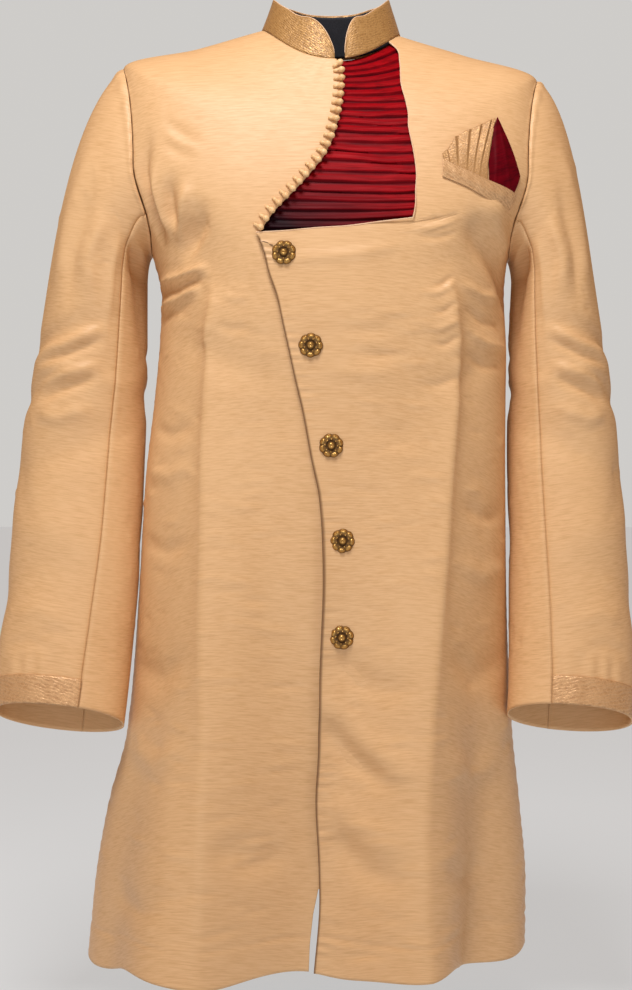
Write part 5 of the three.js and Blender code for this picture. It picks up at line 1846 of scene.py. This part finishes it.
@dataclass
class Pocket:
    """Chest pocket: a brocade welt and a folded square in two parts."""

    body: Body
    finishes: Finishes
    welt: tuple[tuple[float, ...], ...] = (
        (0, 22.0, 852, 22.7, 872.3),
        (0.28, 28.6, 836.4, 29.1, 855),
        (0.6, 37.5, 815, 37.6, 835.4),
        (1, 53.5, 791.8, 51.8, 810.5),
    )
    fan_edge: tuple[Triple, ...] = (
        (0, 22.9, 880), (0.14, 24.6, 883), (0.28, 27.6, 896), (0.44, 31.2, 899.5), (0.64, 37, 901.5),
        (0.86, 43.4, 902.6), (1, 38.2, 866),
    )
    point_edge: tuple[Triple, ...] = (
        (0, 38.0, 862), (0.3, 41.0, 890), (0.46, 44.1, 902.3), (0.62, 46.0, 885), (0.8, 49.6, 856),
        (1, 52.6, 830.7),
    )
    fan_share: tuple[float, float] = (0.02, 0.575)
    fan_bow: float = 1.5
    point_share: tuple[float, float] = (0.6, 0.97)
    lift: float = 0.6
    welt_lift: float = 2.2
    tuck_in: float = 5.0
    square_wall: float = 0.96
    pleats: int = 6
    blade_share: float = 0.8

    def __post_init__(self) -> None:
        """Fit the welt's edges."""
        across = [row[0] for row in self.welt]
        self.low_deg, self.low_run, self.high_deg, self.high_run = (
            Curve(across, [row[k] for row in self.welt]) for k in range(1, 5)
        )

    def _welt(self) -> Cloth:
        """The welt across the pocket's mouth.

        Returns:
            The cloth.
        """
        height, t = np.meshgrid(np.linspace(0.0, 1.0, 22), np.linspace(0.0, 1.0, 100), indexing="ij")
        degrees = lerp(self.low_deg(t), self.high_deg(t), height)
        run = lerp(self.low_run(t), self.high_run(t), height)
        lift = self.lift + self.welt_lift * smoothstep(height, 0.0, 0.5) + TRIM_WALL
        raised = 0.25 * np.sin(t * 40.0 + height * 3.0) * np.sin(math.pi * height)
        pattern = np.stack([t * 112.0, height * 20.0], axis=-1) * MM
        return Cloth("pocket_welt_brocade", "pocket_welt", self.body.skin(degrees, run, lift), pattern,
                     wall=TRIM_WALL, raised=raised)

    def _square(self, name: str, node: str, share: tuple[float, float],
                edge: Sequence[Triple], folds: Callable[[Array, Array], Array],
                bow: float = 1.0) -> Cloth:
        """A part of the square that stands out of the welt.

        Args:
            name: name of its object.
            node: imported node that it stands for.
            share: where it starts and ends along the welt.
            edge: its free edge: share of its width, degrees and run.
            folds: millimetres outward for a share of the width and of the height.
            bow: how far its sides bend upright before they lean, 1 for straight ones.

        Returns:
            The cloth.
        """
        height, t = np.meshgrid(np.linspace(0.0, 1.0, 40), np.linspace(0.0, 1.0, 97), indexing="ij")
        spot = lerp(share[0], share[1], t)
        shares, tip_degrees, tip_runs = zip(*edge)
        top_deg = np.interp(t, shares, tip_degrees)
        top_run = np.interp(t, shares, tip_runs)
        degrees = lerp(self.high_deg(spot), top_deg, height ** bow)
        run = lerp(self.high_run(spot) - self.tuck_in, top_run, height)
        points = self.body.skin(degrees, run, self.lift + TRIM_WALL)
        pattern = np.stack([degrees * BODY_PER_DEGREE, run], axis=-1) * MM
        return Cloth(name, node, points, pattern, wall=self.square_wall, raised=folds(t, height))

    def _pleats(self, t: Array, height: Array) -> Array:
        """Overlapping pleats of the fan, deeper towards its tips.

        Args:
            t: share of the width.
            height: share of the height.

        Returns:
            Millimetres outward.
        """
        phase = (t * self.pleats + 0.15 * np.sin(t * 9.0)) % 1.0
        rising = phase / self.blade_share
        blade = np.where(phase < self.blade_share, rising, (1.0 - phase) / (1.0 - self.blade_share))
        calm = 1.0 - 0.8 * smoothstep(t, 0.8, 1.0)
        return ((0.3 + 2.2 * smoothstep(height, 0.1, 0.8)) * blade + 0.6 * height) * calm

    def _peak(self, t: Array, height: Array) -> Array:
        """Crossed folds of the burgundy point.

        Args:
            t: share of the width.
            height: share of the height.

        Returns:
            Millimetres outward.
        """
        middle = 1.6 * bell((t - 0.45) / 0.2) * smoothstep(height, 0.1, 0.6)
        right = 0.7 * bell((t - 0.75 + 0.3 * height) / 0.07)
        left = 0.5 * bell((t - 0.2 - 0.2 * height) / 0.06)
        return middle + right + left

    def build(self) -> None:
        """Make and dress the welt and the square."""
        welt = self._welt()
        fan = self._square(
            "square_fan_tissue", "square_fan", self.fan_share, self.fan_edge, self._pleats, self.fan_bow,
        )
        peak = self._square(
            "square_point_burgundy", "square_point", self.point_share, self.point_edge, self._peak,
        )
        dress(welt.build(), [welt.node], self.finishes.band, welt.measured())
        dress(fan.build(), [fan.node], self.finishes.tissue, fan.measured())
        dress(peak.build(), [peak.node], self.finishes.point, peak.measured())


@dataclass
class Beads:
    """Covered beads with loops along the curved edge."""

    body: Body
    edges: FrontEdges
    finishes: Finishes
    count: int = 22
    first_run: float = 1070.0
    last_run: float = 784.0
    radius: float = 3.2
    stem_dip: float = 0.16
    stem_radii: tuple[float, float] = (2.0, 1.6)
    stem_start: float = 3.0
    stem_length: float = 5.6
    onto_edge: float = 1.2

    def _runs(self) -> Array:
        """Run of each bead, evenly spaced along the edge's length.

        Returns:
            Millimetres up the cloth, from the neck down.
        """
        fine = lerp(self.first_run, self.last_run, np.linspace(0.0, 1.0, 201))
        line = self.body.point(self.edges.right_deg(fine), fine)
        lengths = np.concatenate([[0.0], np.cumsum(np.linalg.norm(np.diff(line, axis=0), axis=1))])
        return np.interp(np.linspace(0.0, lengths[-1], self.count), lengths, fine)

    def _edge(self, run: float, lift: float = 0.0) -> Array:
        """Point of the curved edge."""
        at = np.array([run])
        return self.body.skin(self.edges.right_deg(at), at, lift)[0]

    def _bead(self, number: int, run: float) -> bpy.types.Object:
        """One bead and its loop, lying square to the edge.

        Args:
            number: number from the neck down.
            run: millimetres up the cloth.

        Returns:
            The object.
        """
        up = self.body.normal(self.edges.right_deg(np.array([run])), np.array([run]))[0]
        along = unit(self._edge(run + 2.0) - self._edge(run - 2.0))
        onto = unit(np.cross(up, along))
        if onto[0] > 0:
            onto = -onto
        axis = unit(onto - up * self.stem_dip)
        across = np.cross(axis, along)
        middle = self._edge(run, self.radius + SEAM_GAP) + axis * self.onto_edge
        form = bmesh.new()
        bmesh.ops.create_uvsphere(form, u_segments=18, v_segments=14, radius=1.0)
        turn = 0.25 * math.sin(number * 2.4)
        for vert in form.verts:
            x, y, z = vert.co
            angle = math.atan2(y, x)
            reach = (1.0 - z) / 2.0
            wide = math.hypot(x, y)
            tail = max(0.0, -z - 0.15) / 0.85
            pinch = 1.0 - 0.62 * tail + 0.05 * math.cos(7 * angle + turn) * (0.3 + tail)
            length = -3.4 + 7.6 * reach + 1.6 * tail
            spoke = along * math.cos(angle) + across * math.sin(angle)
            vert.co = Vector((middle + axis * length + spoke * wide * pinch * self.radius) * MM)
        foot_radius, head_radius = self.stem_radii
        stem = bmesh.ops.create_cone(
            form, cap_ends=True, segments=12, radius1=foot_radius, radius2=head_radius, depth=1.0,
        )
        for vert in stem["verts"]:
            x, y, z = vert.co
            share = z + 0.5
            sag = 0.3 * math.sin(math.pi * share) - 0.9 * share
            line = middle + axis * (self.stem_start + self.stem_length * share)
            vert.co = Vector((line + along * x + across * y + up * (sag - 0.5)) * MM)
        bmesh.ops.recalc_face_normals(form, faces=form.faces)
        mesh = bpy.data.meshes.new(f"potli_{number:02d}")
        form.to_mesh(mesh)
        form.free()
        mesh.shade_smooth()
        return add(mesh.name, mesh)

    def build(self) -> None:
        """Make and dress the beads."""
        for number, run in enumerate(self._runs(), start=1):
            dress(self._bead(number, float(run)), [f"bead_{number:02d}"], self.finishes.bead)


@dataclass
class Buttons:
    """Domed metal buttons, each a flower of petals round a boss."""

    body: Body
    edges: FrontEdges
    finishes: Finishes
    places: tuple[tuple[float, float], ...] = (
        (-9.5, 752.9), (-4.8, 647.9), (0.5, 538.9), (4.1, 440), (4.9, 342.2),
    )
    hole: tuple[tuple[float, float], tuple[float, float]] = ((-14.6, 765.5), (-11.9, 762.5))
    radius: float = 12.4
    petals: int = 8
    lift: float = 0.9
    segments: int = 128
    rings: int = 54
    dome: float = 3.6
    top_share: float = 0.86
    scallop: float = 0.075
    thread_radius: float = 0.55

    def _dome(self, reach: float) -> float:
        """Height of the plain dome in millimetres at a share of the radius."""
        return self.dome * (1.0 - reach ** 2.4)

    def _height(self, reach: float, angle: float) -> float:
        """Height of the relief in millimetres at a share of the radius and an angle.

        Args:
            reach: share of the radius.
            angle: radians round the middle.

        Returns:
            Millimetres over the button's foot.
        """
        petal = abs(math.cos(self.petals * angle / 2.0))
        rim = 2.3 * petal ** 0.7 * math.exp(-((reach - 0.78) / 0.15) ** 2)
        vein = -0.7 * petal ** 18 * math.exp(-((reach - 0.8) / 0.1) ** 2)
        between = max(0.0, math.cos(self.petals * angle + math.pi))
        pearl = 1.2 * between * math.exp(-((reach - 0.5) / 0.09) ** 2)
        groove = -1.5 * math.exp(-((reach - 0.36) / 0.06) ** 2)
        boss = 2.4 * math.exp(-((reach / 0.25) ** 4))
        dimple = -1.3 * math.exp(-((reach / 0.08) ** 2))
        return self._dome(reach) + rim + vein + pearl + groove + boss + dimple

    def _button(self, number: int, deg: float, run: float) -> bpy.types.Object:
        """One button: a grid closed into a disc and raised by its relief.

        Args:
            number: number from the top down.
            deg: degrees round the body.
            run: millimetres up the cloth.

        Returns:
            The object.
        """
        at = (np.array([deg]), np.array([run]))
        up = self.body.normal(*at)[0]
        past = deg - self.edges.left_deg(np.minimum(at[1], ARMPIT_RUN)) - OVERLAP_DEGREES
        foot = self.body.skin(*at, lap_lift(past, at[1]) + self.lift)[0]
        first = unit(np.cross(up, np.array([0.0, 0.0, 1.0])))
        second = np.cross(up, first)
        form = bmesh.new()
        bmesh.ops.create_grid(form, x_segments=self.segments, y_segments=self.rings, size=1.0)
        turn = number * 0.37
        hollow = form.verts.layers.float.new("hollow")
        for vert in form.verts:
            angle = math.pi * (vert.co.x + 1.0)
            share = (vert.co.y + 1.0) / 2.0
            reach = min(1.0, share / self.top_share)
            petal = abs(math.cos(self.petals * angle / 2.0))
            bite = 1.0 - self.scallop * (1.0 - petal) * float(smoothstep(np.array(reach), 0.55, 1.0))
            under = max(0.0, (share - self.top_share) / (1.0 - self.top_share))
            height = self._height(reach, angle) * (1.0 - under)
            wide = reach * self.radius * bite * (1.0 - 0.16 * under)
            smooth = self._dome(reach) + 0.8
            vert[hollow] = float(min(1.0, max(0.0, 0.5 + (smooth - height) * 0.55)))
            spoke = first * math.cos(angle + turn) + second * math.sin(angle + turn)
            vert.co = Vector((foot + up * height + spoke * wide) * MM)
        bmesh.ops.remove_doubles(form, verts=form.verts, dist=1e-6)
        rim = [edge for edge in form.edges if edge.is_boundary]
        bmesh.ops.holes_fill(form, edges=rim, sides=0)
        bmesh.ops.recalc_face_normals(form, faces=form.faces)
        mesh = bpy.data.meshes.new(f"flower_button_{number}")
        form.to_mesh(mesh)
        form.free()
        mesh.shade_smooth()
        return add(mesh.name, mesh)

    def _buttonhole(self) -> bpy.types.Object:
        """The top buttonhole's worked end, which shows beside its button.

        Returns:
            A round tube along the stitches.
        """
        t = np.linspace(0.0, 1.0, 9)
        (start_deg, start_run), (end_deg, end_run) = self.hole
        run = lerp(start_run, end_run, t) + 0.8 * np.sin(t * 5.0)
        line = self.body.skin(lerp(start_deg, end_deg, t), run, OVERLAP_LIFT + 0.7)
        return tube("buttonhole_stitching", line, self.thread_radius)

    def build(self) -> None:
        """Make and dress the buttons."""
        dress(self._buttonhole(), [], self.finishes.thread)
        for number, (deg, run) in enumerate(self.places, start=1):
            dress(self._button(number, deg, run), [f"button_{number}"], self.finishes.gold)


@dataclass(frozen=True)
class Lamp:
    """Soft square light."""

    name: str
    place: Triple
    aim: Triple
    size: float
    power: float
    colour: Colour

    def build(self) -> None:
        """Add the light."""
        lamp = bpy.data.lights.new(self.name, "AREA")
        lamp.shape = "SQUARE"
        lamp.size = self.size
        lamp.energy = self.power
        lamp.color = self.colour
        piece = bpy.data.objects.new(self.name, lamp)
        piece.location = self.place
        piece.rotation_euler = (Vector(self.aim) - Vector(self.place)).to_track_quat("-Z", "Y").to_euler()
        bpy.context.scene.collection.objects.link(piece)


@dataclass
class Studio:
    """Floor, soft light and camera."""

    floor_level: float = -1.06
    camera: Triple = (-0.015, -1.9, -0.489)
    focal_pixels: float = 1786.0
    frame_height: float = 990.0
    sensor: float = 36.0
    sky_light: Colour = (0.24, 0.1, 0.014)
    background: Colour = (0.62, 0.605, 0.585)
    floor_glow: Colour = (0.92, 0.97, 1.0)
    glow_strength: float = 0.52
    lamps: tuple[Lamp, ...] = (
        Lamp("key_light", (-0.24, -1.3, 1.5), (0.0, 0.0, -0.3), 0.8, 48.5, (1.0, 1.0, 1.0)),
        Lamp("fill_light", (-0.2, -2.6, -0.95), (0.0, 0.0, -0.85), 1.5, 11.0, (1.0, 0.99, 0.97)),
    )

    def _floor(self) -> None:
        """Add the pale floor."""
        form = bmesh.new()
        bmesh.ops.create_grid(form, x_segments=4, y_segments=4, size=30.0)
        bmesh.ops.translate(form, verts=form.verts, vec=(0.0, 0.0, self.floor_level))
        mesh = bpy.data.meshes.new("studio_floor")
        form.to_mesh(mesh)
        form.free()
        floor = add("studio_floor", mesh)
        bench = Bench("pale_floor")
        tone = bench.noise(bench.place(), (3.0, 3.0, 3.0), 2.0, 0.5)
        paint = bench.mix((0.29, 0.3, 0.31), (0.31, 0.32, 0.33), tone)
        finish = bench.shade(
            Base_Color=paint, Roughness=0.9,
            Emission_Color=self.floor_glow, Emission_Strength=self.glow_strength,
        )
        floor.data.materials.append(finish)

    def _sky(self) -> bpy.types.World:
        """Warm soft light from all round, in front of a plain pale background.

        Returns:
            The world.
        """
        world = bpy.data.worlds.new("studio_sky")
        world.use_nodes = True
        tree = world.node_tree
        ray = tree.nodes.new("ShaderNodeLightPath")
        tone = tree.nodes.new("ShaderNodeMix")
        tone.data_type = "RGBA"
        tone.inputs[6].default_value = (*self.sky_light, 1.0)
        tone.inputs[7].default_value = (*self.background, 1.0)
        tree.links.new(ray.outputs["Is Camera Ray"], tone.inputs[0])
        tree.links.new(tone.outputs[2], tree.nodes["Background"].inputs["Color"])
        return world

    def build(self) -> None:
        """Set the floor, the lights, the sky and the camera."""
        scene = bpy.context.scene
        self._floor()
        scene.world = self._sky()
        for lamp in self.lamps:
            lamp.build()
        lens = bpy.data.cameras.new("front_camera")
        lens.sensor_width = self.sensor
        lens.lens = self.focal_pixels * self.sensor / self.frame_height
        lens.clip_end = 100.0
        eye = bpy.data.objects.new("front_camera", lens)
        eye.location = self.camera
        eye.rotation_euler = (math.pi / 2, 0.0, 0.0)
        scene.collection.objects.link(eye)
        scene.camera = eye
        scene.view_settings.view_transform = "Standard"


def main() -> None:
    """Build the garment and its studio."""
    logging.basicConfig(level=logging.INFO, format="%(name)s %(message)s")
    body = Body()
    edges = FrontEdges()
    finishes = Finishes()
    Studio().build()
    Coat(body, edges, finishes).build()
    for side in Side:
        Sleeve(SleeveForm(body, side), finishes).build()
    Inset(body, edges, finishes).build()
    Collar(body, finishes).build()
    Pocket(body, finishes).build()
    Beads(body, edges, finishes).build()
    Buttons(body, edges, finishes).build()


if __name__ == "__main__":
    main()
